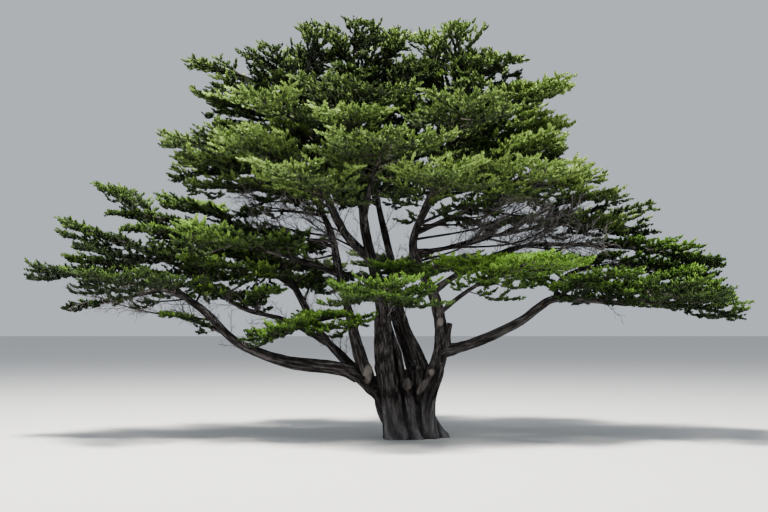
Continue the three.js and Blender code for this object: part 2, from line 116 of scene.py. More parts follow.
def route(points):
    """A smooth curve through the points: a function from a share of its length to a place."""
    points = np.array([(*p, -BURIED)[:3] for p in points], float)
    padded = np.vstack([2 * points[0] - points[1], points, 2 * points[-1] - points[-2]])
    spans = len(points) - 1

    def place(share):
        t = np.clip(np.asarray(share, float), 0, 1) * spans
        i = np.minimum(t.astype(int), spans - 1)
        w = (t - i)[..., None]
        p0, p1, p2, p3 = (padded[i + k] for k in range(4))
        pairs = ((p0, p1), (p1, p2), (p2, p3))
        d0, d1, d2 = (np.linalg.norm(b - a, axis=-1, keepdims=True) ** 0.5 for a, b in pairs)
        m1 = ((p1 - p0) / d0 - (p2 - p0) / (d0 + d1) + (p2 - p1) / d1) * d1
        m2 = ((p2 - p1) / d1 - (p3 - p1) / (d1 + d2) + (p3 - p2) / d2) * d1
        bend, ease = 3 * (p2 - p1) - 2 * m1 - m2, 2 * (p1 - p2) + m1 + m2
        return p1 + m1 * w + bend * w**2 + ease * w**3

    return place


def shape_limb(thick, thin, path, fork=0, carrier=None):
    """A limb's curve, and its girth, with the root flare where no other limb carries it."""
    place = route(path)

    def girth(share):
        plain = thin + (thick - thin) * (1 - share)
        if carrier:
            return plain
        height = np.maximum(0, place(share)[..., 2])
        return plain * (1 + FLARE * np.exp(-height / FLARE_HEIGHT))

    return SimpleNamespace(place=place, girth=girth, fork=fork, carrier=carrier)


def tube(place, girth, start, end, sides, step, flute, turn):
    """A round limb along a curve: its corners, its faces, and its grain, which runs along the limb."""
    trial = place(np.linspace(start, end, 40))
    length = np.linalg.norm(np.diff(trial, axis=0), axis=1).sum()
    rings = max(2, int(np.ceil(length / step)) + 1)
    share = np.linspace(start, end, rings)
    centre = place(share)
    tangent = np.gradient(centre, axis=0)
    tangent /= np.linalg.norm(tangent, axis=1, keepdims=True)
    side = np.zeros_like(tangent)
    aside = np.eye(3)[np.argmin(np.abs(tangent).sum(0))]
    for i, ahead in enumerate(tangent):
        aside = aside - ahead * (aside @ ahead)
        aside = aside / np.linalg.norm(aside)
        side[i] = aside
    other = np.cross(tangent, side)
    angle = np.linspace(0, 2 * np.pi, sides, endpoint=False)[None, :]
    run = (share[:, None] - start) / max(end - start, 1e-9) * length
    wide_flutes, narrow_flutes = np.cos(3 * angle + turn + 0.7 * run), np.cos(5 * angle - turn - 0.4 * run)
    radius = girth(share)[:, None] * (1 + flute * (wide_flutes + 0.6 * narrow_flutes))
    around = np.cos(angle)[..., None] * side[:, None] + np.sin(angle)[..., None] * other[:, None]
    corners = (centre[:, None] + radius[..., None] * around).reshape(-1, 3)
    along = np.broadcast_to(run, radius.shape) + turn
    grain = np.stack([radius * np.cos(angle), radius * np.sin(angle), along], -1)
    i, j = np.meshgrid(np.arange(rings - 1), np.arange(sides), indexing="ij")
    a, b = i * sides + j, i * sides + (j + 1) % sides
    walls = np.stack([a, b, b + sides, a + sides], -1).reshape(-1, 4)
    faces = [*walls.tolist(), list(range(sides))[::-1], list(range((rings - 1) * sides, rings * sides))]
    return corners, faces, grain.reshape(-1, 3)


def give(mesh, name, values):
    kind, field = ("FLOAT_VECTOR", "vector") if values.ndim == 2 else ("FLOAT", "value")
    mesh.attributes.new(name, kind, "POINT").data.foreach_set(field, values.astype(np.float32).ravel())


def place_in_scene(name, data):
    made = bpy.data.objects.new(name, data)
    bpy.context.scene.collection.objects.link(made)
    return made


def joined(tubes):
    """Several tubes as one: their corners, their faces and their grain."""
    corners, faces, grain, total = [], [], [], 0
    for tube_corners, tube_faces, tube_grain in tubes:
        corners.append(tube_corners)
        faces += [[k + total for k in face] for face in tube_faces]
        grain.append(tube_grain)
        total += len(tube_corners)
    return np.vstack(corners), faces, np.vstack(grain)


def make_piece(name, corners, faces, grain=None, finish=None):
    mesh = bpy.data.meshes.new(name)
    mesh.from_pydata(corners.tolist(), [], faces)
    mesh.shade_smooth()
    if grain is not None:
        give(mesh, "grain", grain)
        mesh.materials.append(finish)
    return place_in_scene(name, mesh)


class Tone:
    """A value in a finish's nodes, so that finishes are written as sums and products."""

    def __init__(self, tree, socket=None):
        self.tree = tree
        self.socket = socket

    def node(self, kind, settings=None, out=None, **values):
        made = self.tree.nodes.new("ShaderNode" + kind)
        for key, value in (settings or {}).items():
            if key == "stops":
                for place, colour in value[len(made.color_ramp.elements):]:
                    made.color_ramp.elements.new(place)
                for stop, (place, colour) in zip(made.color_ramp.elements, value):
                    stop.position = place
                    stop.color = (*colour, 1)
            else:
                setattr(made, key, value)
        for key, value in values.items():
            socket = next(s for s in made.inputs if s.enabled and s.name == key.replace("_", " "))
            self._set(socket, value)
        shown = [s for s in made.outputs if s.enabled]
        return Tone(self.tree, next((s for s in shown if s.name == out), shown[0]))

    def _set(self, socket, value):
        if isinstance(value, Tone):
            self.tree.links.new(value.socket, socket)
        else:
            socket.default_value = value

    def _math(self, operation, first, second):
        made = self.tree.nodes.new("ShaderNodeMath")
        made.operation = operation
        for socket, value in zip(made.inputs, (first, second)):
            self._set(socket, value)
        return Tone(self.tree, made.outputs[0])

    def __add__(self, other):
        return self._math("ADD", self, other)

    __radd__ = __add__

    def __sub__(self, other):
        return self._math("SUBTRACT", self, other)

    def __rsub__(self, other):
        return self._math("SUBTRACT", other, self)

    def __mul__(self, other):
        return self._math("MULTIPLY", self, other)

    __rmul__ = __mul__


def new_finish(name):
    finish = bpy.data.materials.new(name)
    finish.use_nodes = True
    return finish, Tone(finish.node_tree), finish.node_tree.nodes["Principled BSDF"]


def feed(tone, shader, name):
    tone.tree.links.new(tone.socket, shader.inputs[name])


BARK_STRETCH = 0.16
RIDGE_SCALE = 13.0
FIBRE_SCALE = 60.0
BLOTCH_SCALE = 1.6
RIDGE_SHARE = 0.75
WOOD = [(0.41, (0.004, 0.0035, 0.0035)), (0.51, (0.018, 0.0155, 0.015)), (0.63, (0.085, 0.076, 0.076))]
SCAR_WOOD = (0.155, 0.137, 0.125)
LICHEN = (0.1, 0.1, 0.09)
LICHEN_EDGES = [(0.52, (0, 0, 0)), (0.7, (1, 1, 1))]
LICHEN_STRENGTH = 0.3
# Painted light on the foot of the bole, as from the ground: a pale grey that fades out upward.
FOOT_PAINTED_LIGHT = (0.3, 0.285, 0.29)
# How strongly painted shade darkens the seam grooves and the hollows between the flutes.
GROOVE_SHADE_STRENGTH = 0.8
BARK_BUMP = 0.03
BARK_SPECULAR = 0.08


def make_bark(name):
    """Fibrous bark, drawn out along the grain: dark between its ridges, with lichen, pale on healed scars,
    with painted light on the foot of the bole and painted shade in its grooves and between its flutes."""
    finish, start, shader = new_finish(name)
    grain = start.node("Attribute", {"attribute_name": "grain"}, out="Vector")
    long = grain.node("VectorMath", {"operation": "MULTIPLY"}, Vector=grain)
    long.socket.node.inputs[1].default_value = (1, 1, BARK_STRETCH)
    ridges = long.node("TexNoise", Vector=long, Scale=RIDGE_SCALE, Detail=6.0, Roughness=0.6, out="Fac")
    fibres = long.node("TexNoise", Vector=long, Scale=FIBRE_SCALE, Detail=3.0, Roughness=0.6, out="Fac")
    blotches = grain.node("TexNoise", Vector=grain, Scale=BLOTCH_SCALE, Detail=4.0, Roughness=0.55, out="Fac")
    height = ridges * RIDGE_SHARE + fibres * (1 - RIDGE_SHARE)
    colour = height.node("ValToRGB", {"stops": WOOD}, Fac=height, out="Color")
    lichen = blotches.node("ValToRGB", {"stops": LICHEN_EDGES}, Fac=blotches, out="Color")
    scar, groove, foot = (
        start.node("Attribute", {"attribute_name": mark}, out="Fac") for mark in ("scar", "groove", "foot"))
    for amount, over in (
            (lichen * LICHEN_STRENGTH, LICHEN),
            # painted light on the foot of the bole, brightest on the ridges
            (foot * (0.1 + ridges * 0.9), FOOT_PAINTED_LIGHT),
            (scar * (0.55 + fibres * 0.8), SCAR_WOOD),
            # painted shade in the seam grooves and between the flutes
            (groove * GROOVE_SHADE_STRENGTH, WOOD[0][1])):
        colour = colour.node("Mix", {"data_type": "RGBA"}, Factor=amount, A=colour, B=(*over, 1))
    feed(colour, shader, "Base Color")
    feed(1 - ridges * 0.25, shader, "Roughness")
    feed(height.node("Bump", Height=height, Strength=0.8, Distance=BARK_BUMP), shader, "Normal")
    shader.inputs["Specular IOR Level"].default_value = BARK_SPECULAR
    return finish


bark = make_bark("bark")


def tucked(limb):
    """The girth of a stem inside the bole, drawn in just past the fork so that it ends within the limb."""
    def girth(share):
        past = np.clip((share - limb.fork) / FORK_LENGTH, 0, 1)
        return limb.girth(share) * (STEM_SWELL - FORK_PULL * past)

    return girth


def skin_over(name, tubes):
    """One closed skin over several tubes, cut flat at the ground."""
    piece = make_piece(name, *joined(tubes)[:2])
    remesh = piece.modifiers.new("skin", "REMESH")
    remesh.mode = "VOXEL"
    remesh.voxel_size = BOLE_SKIN
    smooth = piece.modifiers.new("smooth", "SMOOTH")
    smooth.factor = SKIN_SMOOTHING
    smooth.iterations = SKIN_PASSES
    evaluated = piece.evaluated_get(bpy.context.evaluated_depsgraph_get())
    mesh = bpy.data.meshes.new_from_object(evaluated)
    piece.modifiers.clear()
    piece.data = mesh
    work = bmesh.new()
    work.from_mesh(mesh)
    everything = work.verts[:] + work.edges[:] + work.faces[:]
    cut = bmesh.ops.bisect_plane(
        work, geom=everything, plane_co=(0, 0, 0), plane_no=(0, 0, -1), clear_outer=True)
    rim = [edge for edge in cut["geom_cut"] if isinstance(edge, bmesh.types.BMEdge)]
    bmesh.ops.edgeloop_fill(work, edges=rim)
    work.to_mesh(mesh)
    work.free()
    return piece


def scars_at(places, outward):
    """How pale and how far out the healed wounds make the front of the wood at these places."""
    pale, push = np.zeros(len(places)), np.zeros(len(places))
    for (x, z), (width, height), lean, out, paleness in SCARS:
        a, b = places[:, 0] - x, places[:, 2] - z
        across, along = a * np.cos(lean) - b * np.sin(lean), a * np.sin(lean) + b * np.cos(lean)
        inside = (1.12 - np.hypot(across / width, along / height)) * 5
        mark = np.clip(inside, 0, 1) * (outward[:, 1] < 0)
        pale, push = np.maximum(pale, paleness * mark), push + out * mark
    return pale, push


def waves(place, grain):
    """Smooth noise with a given number of waves a metre across the grain, and along it."""
    x, y, z = place
    across, along = grain
    return noise.noise(Vector((x * across, y * across, z * along)))


def relief(grain):
    """Bark height from 0 to 1: flutes, then long ridges that wander, with narrow grooves between them."""
    flutes = np.array([1 - 2 * abs(waves(place, FLUTE_GRAIN)) for place in grain])
    ridges = np.array([
        1 - 2.2 * abs(waves(place, RIDGE_GRAIN)) + 0.4 * waves(place, FINE_RIDGE_GRAIN) for place in grain])
    return flutes, ridges


def flute_hollow_shade(flutes):
    """How much painted shade darkens the deepest lines between the flutes."""
    return np.clip(0.9 - 1.6 * flutes, 0, 0.8)


def raise_bark(piece, cores):
    """Gives the bole its bark: each part of the skin takes the grain of the stem that it covers, with a
    deep groove along the seam between two stems, and painted shade in that groove and between the flutes."""
    mesh = piece.data
    count = len(mesh.vertices)
    places, normals = np.empty(count * 3), np.empty(count * 3)
    mesh.vertices.foreach_get("co", places)
    mesh.vertices.foreach_get("normal", normals)
    places, normals = places.reshape(-1, 3), normals.reshape(-1, 3)
    ratios, grains = [], []
    for k, (place, girth, end) in enumerate(cores):
        share = np.linspace(0, end, STEM_SAMPLES)
        centre = place(share)
        along = unit(np.gradient(centre, axis=0))
        run = np.concatenate([[0], np.cumsum(np.linalg.norm(np.diff(centre, axis=0), axis=1))])
        nearest = np.argmin(((places[:, None] - centre[None]) ** 2).sum(2), axis=1)
        away = places - centre[nearest]
        side = unit(np.cross(along, [0.0, 1.0, 0.0]))[nearest]
        other = np.cross(along[nearest], side)
        ratios.append(np.linalg.norm(away, axis=1) / girth(share)[nearest])
        grains.append(np.stack(
            [(away * side).sum(1) + GRAIN_OFFSET * k, (away * other).sum(1), run[nearest]], 1))
    ratios, grains = np.array(ratios), np.array(grains)
    order = np.argsort(ratios, axis=0)
    rows = np.arange(count)
    gap = ratios[order[1], rows] - ratios[order[0], rows]
    groove = np.exp(-((gap / GROOVE_WIDTH) ** 2)) * (ratios[order[1], rows] < GROOVE_REACH)
    grain = grains[order[0], rows]
    flutes, ridges = relief(grain)
    pale, out = scars_at(places, normals)
    smooth = 1 - SCAR_SMOOTHNESS * pale
    rough = FLUTE_DEPTH * (flutes - 0.75) + RIDGE_DEPTH * (ridges - 0.5)
    push = smooth * rough + out - GROOVE_DEPTH * groove
    normals[:, 2] *= np.clip(places[:, 2] / 0.1, 0, 1)
    places = places + normals * push[:, None]
    places[:, 2] = np.maximum(places[:, 2], 0)
    mesh.vertices.foreach_set("co", places.ravel())
    give(mesh, "grain", grain)
    give(mesh, "scar", pale)
    # how much painted light lies on the foot of the bole, fading out upward
    give(mesh, "foot", np.clip(1 - places[:, 2] / FOOT_LIGHT_HEIGHT, 0, 1))
    # painted shade for the seam groove and the hollows between the flutes
    give(mesh, "groove", np.maximum(groove, flute_hollow_shade(flutes)) * smooth)
    mesh.shade_smooth()
    mesh.update()


limbs, feet, cores = {}, [], []
for turn, (name, (thick, thin, fork, path)) in enumerate(STEMS.items()):
    stem = limbs[name] = shape_limb(thick, thin, path, fork)
    end = fork + FORK_LENGTH
    feet.append(tube(stem.place, tucked(stem), 0, end, BOLE_SIDES, BOLE_STEP, STEM_FLUTE, turn))
    cores.append((stem.place, stem.girth, end))
for row in BOLE_PARTS:
    part = shape_limb(*row)
    feet.append(tube(part.place, part.girth, 0, 1, BOLE_SIDES, BOLE_STEP, PART_FLUTE, PART_TURN))
    cores.append((part.place, part.girth, 1))
bole = skin_over("bole", feet)
raise_bark(bole, cores)
bole.data.materials.append(bark)
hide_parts("trunk")
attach(bole, "root")


# The stems and boughs. Each is one long tapering limb with fibrous ridged bark that follows it, a collar
# where it leaves another limb, and slight flutes. They grow out of the bole or out of a thicker limb.

# The limb that carries a bough, the share of that limb's length where the bough leaves it, the bough's
# girth at its foot and at its tip, and its path.
BOUGHS = {
    "left_fork": ("left_back_stem", 0.56, 0.11, 0.065, [
        (-4.6, 0.6, 4.18), (-6.2, 0.45, 4.65), (-7.7, 0.3, 5.75)]),
    "centre_left_stem": ("centre_stem", 0.62, 0.2, 0.05, [
        (-2.4, 0.15, 7.25), (-3.05, 0, 8.5), (-3.45, -0.2, 10.2), (-3.9, -0.3, 12.3)]),
    "right_low_bough": ("right_stem", 0.325, 0.21, 0.08, [
        (2.08, -0.15, 3.37), (3.8, -0.22, 4.15), (4.95, -0.26, 4.93), (6.1, -0.25, 4.9),
        (7.6, -0.2, 4.75)]),
    "right_upper_fork": ("right_low_bough", 0.62, 0.095, 0.06, [
        (5.2, 0, 5.5), (5.9, 0.25, 5.95), (7, 0.5, 6.15)]),
    "right_low_fan": ("right_stem", 0.54, 0.12, 0.06, [
        (1.7, 0.45, 5.9), (2.9, 0.8, 6.5), (4.3, 1.1, 6.95), (6.1, 1.3, 7)]),
    "right_mid_fan": ("right_stem", 0.645, 0.1, 0.06, [
        (0.97, 0.45, 6.75), (2.4, 0.8, 7.15), (4.5, 1.2, 7.6)]),
    "right_high_fan": ("right_stem", 0.7, 0.1, 0.06, [
        (1.5, 0, 7.9), (2.75, -0.4, 8.45), (4.1, -0.5, 8.9)]),
}
STUB = ("right_low_bough", 0.05, 0.16, 0.1, [(1.2, -0.2, 3.6), (1.3, -0.2, 4.08)])
STUB_SIDES = 16
STUB_FLUTE = 0.09
STUB_TURN = 3
LIMB_SIDES = (12, 36)
LIMB_SIDES_A_METRE = 120
LIMB_STEP = 0.06
COLLAR = 0.45
COLLAR_LENGTH = 0.3
ROOT_SHARE = 0.88
FORK_TUCK = 0.9
LIMB_FLUTE = 0.05
FLUTED_FROM = 0.3
RIDGED_FROM = 0.15
GNARL = 0.16
GNARLS_A_LIMB = 9


def grow_bough(on, at, thick, thin, path):
    """A limb that starts inside the one that carries it."""
    carrier = limbs[on]
    return shape_limb(thick, thin, [carrier.place(at), *path], carrier=(carrier, at))


for name, row in BOUGHS.items():
    limbs[name] = grow_bough(*row)


def limb_piece(name, limb, turn):
    start = max(0, limb.fork - FORK_LENGTH)
    place, plain = limb.place, limb.girth
    foot = place(start)
    if limb.carrier:
        carrier, at = limb.carrier
        collar = min(COLLAR, ROOT_SHARE * carrier.girth(at) / plain(0) - 1)

    def girth(share):
        away = np.linalg.norm(place(share) - foot, axis=-1)
        if not limb.carrier:
            return plain(share) * (FORK_TUCK + (1 - FORK_TUCK) * np.clip(away / COLLAR_LENGTH, 0, 1))
        return plain(share) * (1 + collar * np.exp(-away / COLLAR_LENGTH))

    def gnarled(share):
        run = share * GNARLS_A_LIMB + turn * 3
        return girth(share) * (1 + GNARL * np.array([noise.noise(Vector((x, turn, 0))) for x in run]))

    sides = int(np.clip(plain(start) * LIMB_SIDES_A_METRE, *LIMB_SIDES))
    corners, faces, grain = tube(place, gnarled, start, 1, sides, LIMB_STEP, LIMB_FLUTE, turn)
    radius = np.hypot(grain[:, 0], grain[:, 1])
    flutes, ridges = relief(grain)
    centre = place(start + (1 - start) * (grain[:, 2] - turn) / (grain[:, 2] - turn).max())
    outward = (corners - centre) / radius[:, None]
    pale, out = scars_at(corners, outward)
    fluted, ridged = np.minimum(1, radius / FLUTED_FROM), np.minimum(1, radius / RIDGED_FROM)
    push = FLUTE_DEPTH * fluted * (flutes - 0.7) + RIDGE_DEPTH * ridged * (ridges - 0.4) + out
    piece = make_piece(name + "_bark", corners + outward * push[:, None], faces, grain, bark)
    give(piece.data, "scar", pale)
    # painted shade in the hollows between the flutes
    give(piece.data, "groove", flute_hollow_shade(flutes) * fluted)
    return piece


for turn, (name, limb) in enumerate(limbs.items()):
    piece = limb_piece(name, limb, float(turn))
    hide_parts(name)
    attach(piece, "root")

stub = grow_bough(*STUB)
stub_tube = tube(stub.place, stub.girth, 0, 1, STUB_SIDES, LIMB_STEP, STUB_FLUTE, STUB_TURN)
broken = make_piece("broken_stub", *stub_tube, bark)
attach(broken, "root")


# The foliage. Each mass is a flat shelf or an upright plume: one stem from the limb, twigs to both sides,
# finer twigs on those, and on all of them upswept sprays of fine cord-like shoots, dense on top.

# A row gives the limb that a mass grows from, the share of that limb's length, where its tip is, its
# width and depth, the leafless share of its stem, how far the stem arches, and how pale it is: partly its
# own green and partly painted light and shade for where it stands in the crown.
MASSES = {
    "left_low": {
        "left_low_tip": ("left_low_bough", 1, (-13.8, -0.2, 5.9), 3, 1.3, 0.06, 0, -0.38),
        "left_shelf": ("left_fork", 1, (-12.55, -0.9, 7.5), 4.6, 1.7, 0.05, 0.1, -0.1),
        "left_under_shelf": ("left_low_bough", 0.9, (-10.9, -4, 5.4), 3.6, 1.4, 0.08, 0.1, -0.22),
        "left_spur": ("left_fork", 0.9, (-11.5, 1.7, 9.25), 2, 1.5, 0.35, 0.2, -0.16),
        "left_crest": ("left_back_stem", 1, (-9.5, 3, 8.7), 3.6, 1.7, 0.15, 0.2, -0.1),
        "left_inner_shelf": ("left_riser", 0.67, (-8.3, -2.3, 6.9), 4.4, 1.9, 0.2, 0.1, 0.06),
        "left_inner_low": ("left_back_stem", 0.88, (-8.3, 1.5, 5.5), 3.2, 1.2, 0.3, 0.1, 0.06)},
    "front_and_right_low": {
        "front_low_pad": ("left_riser", 0.55, (-5.35, -2.6, 3.3), 3, 1.1, 0.05, 0.08, 0.08),
        "front_pad": ("centre_stem", 0.44, (-1.3, -6.4, 4.9), 4.4, 1.4, 0.25, 0.15, 0.08),
        "front_right_pad": ("right_stem", 0.47, (5.1, -3.9, 6), 4.6, 1, 0.18, 0.2, 0.4),
        "right_low_tip": ("right_low_bough", 1, (11.9, 0, 4.25), 3.5, 1.3, 0.02, 0.1, -0.02),
        "right_low_front": ("right_low_bough", 0.86, (10.4, -3.3, 5.05), 3.4, 1.4, 0.08, 0.1, -0.02),
        "right_low_back": ("right_upper_fork", 1, (11.1, 1.9, 5.85), 3.7, 1.3, 0.02, 0.1, -0.02),
        "right_mid_tip": ("right_low_fan", 1, (11.3, 0.4, 6.2), 3.2, 1, 0.05, 0.05, 0.04)},
    "right_high": {
        "right_shoulder": ("right_mid_fan", 1, (9, 2.2, 7.4), 4.4, 2.2, 0.02, 0.2, -0.1),
        "right_spur": ("right_mid_fan", 0.85, (7.45, -0.9, 8.5), 2, 1.1, 0.2, 0.2, 0.1),
        "right_shelf": ("right_high_fan", 1, (6.5, 0.5, 9.6), 3.8, 1.2, 0.02, 0.2, 0.5),
        "right_front_shelf": ("right_high_fan", 0.75, (4.4, -3.9, 8.9), 4.4, 1.3, 0.1, 0.2, 0.4),
        "crown_right_top": ("right_stem", 0.89, (5.9, 0, 12.8), 4.2, 1.2, 0.05, 0.2, 0.34),
        "crown_right_high": ("right_stem", 0.83, (5.8, 1.1, 11.5), 4.4, 1.5, 0.05, 0.2, 0.34),
        "crown_right_mid": ("right_stem", 0.78, (5.4, -1.2, 10.3), 4.2, 1.7, 0.05, 0.2, 0.34)},
    "crown_left": {
        "crown_left_low": ("left_riser", 1, (-9, 0.7, 9.35), 4.4, 1.7, 0.05, 0.2, 0.14),
        "crown_left_mid": ("centre_left_stem", 0.55, (-9.1, -0.9, 10.4), 4.2, 1.7, 0.1, 0.2, 0.14),
        "crown_left_high": ("centre_left_stem", 0.8, (-7.6, 1.1, 11.9), 4.4, 1.7, 0.08, 0.2, 0),
        "crown_left_top": ("centre_left_stem", 0.9, (-8.1, -0.5, 13.3), 3.2, 1.1, 0.1, 0.2, 0.04),
        "top_left": ("centre_left_stem", 0.96, (-5.7, -1.7, 13.45), 3.6, 1.7, 0.02, 0.2, -0.1),
        "top_left_leader": ("centre_left_stem", 1, (-3.45, 0.9, 15), 2.5, 2, 0.02, 0.2, -0.1),
        "top_middle": ("centre_stem", 1, (-2, -0.8, 15.05), 3.4, 2.6, 0, 0.2, -0.06),
        "top_centre": ("centre_stem", 0.95, (0.1, 0.7, 14.9), 3, 2.4, 0.1, 0.2, -0.06)},
    "crown_front": {
        "top_right_leader": ("right_stem", 1, (1.25, -0.5, 14.95), 3.2, 2.4, 0, 0.2, 0.04),
        "top_right": ("right_stem", 0.95, (2.9, 0.6, 14.1), 2.5, 1.8, 0.05, 0.2, 0.04),
        "face_left_top": ("centre_left_stem", 0.78, (-5.3, -4.2, 11.15), 4, 1.6, 0.08, 0.2, 0.25),
        "face_left_mid": ("centre_left_stem", 0.5, (-6.5, -3.7, 10), 4, 1.6, 0.12, 0.2, 0.25),
        "face_left_low": ("centre_left_stem", 0.3, (-4.1, -5.2, 8.7), 4.2, 1.5, 0.15, 0.2, 0.25),
        "face_top": ("centre_stem", 0.86, (-2.1, -4.2, 11.9), 4.4, 1.7, 0.05, 0.2, 0),
        "face_middle": ("centre_stem", 0.72, (-0.8, -5.6, 9.9), 4.6, 1.7, 0.1, 0.2, 0.14),
        "face_right_top": ("right_stem", 0.85, (1.7, -4.5, 11.2), 4.2, 1.7, 0.08, 0.2, 0.14),
        "face_right_low": ("right_stem", 0.72, (1.3, -5.1, 8.8), 4.2, 1.5, 0.12, 0.2, 0.32)},
    "rear": {
        "rear_low_left": ("rear_bough", 0.85, (-6.8, 5.9, 6.5), 4.5, 1.5, 0.15, 0.08, -0.04),
        "rear_low_middle": ("rear_bough", 1, (-0.5, 8.6, 6.3), 4.8, 1.5, 0.05, 0.2, -0.04),
        "rear_low_right": ("rear_bough", 0.93, (6, 6.2, 6.5), 4.5, 1.5, 0.15, 0.08, -0.04),
        "rear_left": ("back_stem", 0.85, (-6.3, 4.8, 9.5), 4.8, 1.8, 0.1, 0.2, -0.04),
        "rear_right": ("back_stem", 0.88, (3.9, 5.6, 9.7), 4.8, 1.8, 0.1, 0.2, -0.04),
        "rear_middle": ("back_stem", 1, (-1.6, 6.3, 11.2), 4.8, 1.8, 0.02, 0.2, -0.04),
        "rear_top": ("centre_stem", 0.91, (-0.5, 4.1, 13.5), 4.6, 1.9, 0.1, 0.2, -0.04)},
}
LEVELLING = 0.45
STEEP = 0.75
HEART_PLACE = 0.45
CEILING = 0.1
RIM = 0.25
UP = np.array([0.0, 0.0, 1.0])
STEM_GIRTH = 0.012
STEM_GIRTH_A_METRE = 0.012
STEM_TIP_GIRTH = 0.014
STEM_END = 0.95
# Twigs to both sides of a stem, in tiers of its depth. The first one carries the stem on to its tip.
TWIG_SPACING = 0.2
TWIG_LEAN = (22, 44)
TIP_LEAN = 25
PLUME_CROWDING = 1.5
PLUME_REACH = (0.55, 1.05)
PLUME_SWELL = 1.25
CLIMB = (0.3, 1.2)
SHELF_REACH = (0.5, 1.05)
LEAST_REACH = 0.3
TIERS = (-0.38, 0.0, 0.3, 0.3)
TIER_SPREAD = 0.06
TIP_ROOM = 0.3
SIDE_ROOM = 0.15
TIP_TWIG = (0.35, 0.68)
LAST_TWIG = 0.93
TWIG_END = 0.006
TWIG_TAPER = 0.011
TWIG_SAG = 0.07
TWIG_BARE = 0.3
TWIG_TONE_SPREAD = 0.07
# Fine straight twigs on each of those, to both sides.
SIDE_TWIG_SPACING = 0.22
SIDE_TWIG_LENGTH = (0.4, 0.8)
SIDE_TWIG_SPREAD = (0.6, 1.3)
SIDE_TWIG_TILT = {True: (-0.6, 0.6), False: (-0.25, 0.45)}  # on a steep plume, and on a shelf
SIDE_TWIG_RISE = 0.1
SIDE_TWIG_BARE = 0.1
SIDE_TWIG_TONE_SPREAD = 0.06
FINE_GIRTH = 0.008
# Sprays all round every twig: slim shoots along a cord, and broad ones at its heart in painted shade.
SPRAY_SPACING = 0.062
SPRAY_LENGTH = (0.22, 0.32)
SPRAY_SPREAD = (0.22, 0.72)
SPRAY_RISE = 0.12
SPRAY_PATTERNS = 12
SHOOTS = 9
SHOOT_TURN = 2.4
SHOOT_TURN_SPREAD = 0.4
SHOOT_LEAN = (24, 52)
SHOOT_LENGTH = (0.38, 0.56)
SHOOT_WIDTH = (0.17, 0.23)
SHOOTS_ALONG = 0.56
HEART_SHOOTS = 2
HEART_LEAN = 0.1
HEART_LENGTH = 0.78
HEART_WIDTH = 0.5
# How pale a spray is: paler on top and outward in its mass, partly fresh growth and partly painted light,
# darker below and within in painted shade, and paler on the upper side of its twig in painted light.
MIDDLE_TONE = 0.46
PAINTED_TOP_LIGHT = 0.42
PAINTED_TOP_LIGHT_LIMITS = (-0.9, 0.7)
PAINTED_RIM_LIGHT = 0.26
PAINTED_RIM_LIGHT_MIDDLE = 0.7
PAINTED_TUFT_LIGHT = 0.17
SPRAY_TONE_SPREAD = 0.04
# Painted light on shoots that face up, painted shade on those that face down and on the broad heart shoots.
PAINTED_SHOOT_LIGHT = 0.15
PAINTED_HEART_SHADE = -0.22
# Steps of one green from dark to pale, lit and shaded copies that carry the painted light and shade.
LIT_AND_SHADED_GREENS = [
    (0.011, 0.018, 0.008), (0.019, 0.030, 0.011), (0.031, 0.050, 0.016), (0.049, 0.080, 0.022),
    (0.077, 0.125, 0.031), (0.119, 0.190, 0.044), (0.178, 0.276, 0.062), (0.256, 0.376, 0.088)]
# The lower pads are a fresher green.
FRESH = {"left_low": (0.88, 1.0, 0.66), "front_and_right_low": (0.84, 1.04, 0.58)}
LEAF_ROUGHNESS = 0.75
LEAF_SPECULAR = 0.25
TWIG_WOOD = [(0.040, 0.034, 0.031), (0.070, 0.061, 0.056)]
TWIG_ROUGHNESS = 0.9
TWIG_SPECULAR = 0.15
WOOD_RUN = 14
# Coarse short boughs deep in the crown: the limb, the stretch of it, how many, and how long.
INNER = {
    "crown_left": [("centre_left_stem", 0.42, 1, 18, 2.3), ("left_riser", 0.88, 1, 4, 2.1)],
    "crown_front": [("centre_stem", 0.79, 1, 16, 2.5)],
    "right_high": [("right_stem", 0.8, 1, 15, 2.4), ("right_mid_fan", 0.6, 0.95, 3, 1.8)],
    "front_and_right_low": [
        ("right_low_bough", 0.66, 0.99, 7, 1.9), ("right_upper_fork", 0.35, 0.95, 3, 1.7)],
    "left_low": [
        ("left_back_stem", 0.72, 0.98, 6, 2.3), ("left_fork", 0.45, 1, 7, 2),
        ("left_low_bough", 0.86, 0.99, 4, 1.6)],
    "rear": [("back_stem", 0.84, 1, 9, 2.5)],
}
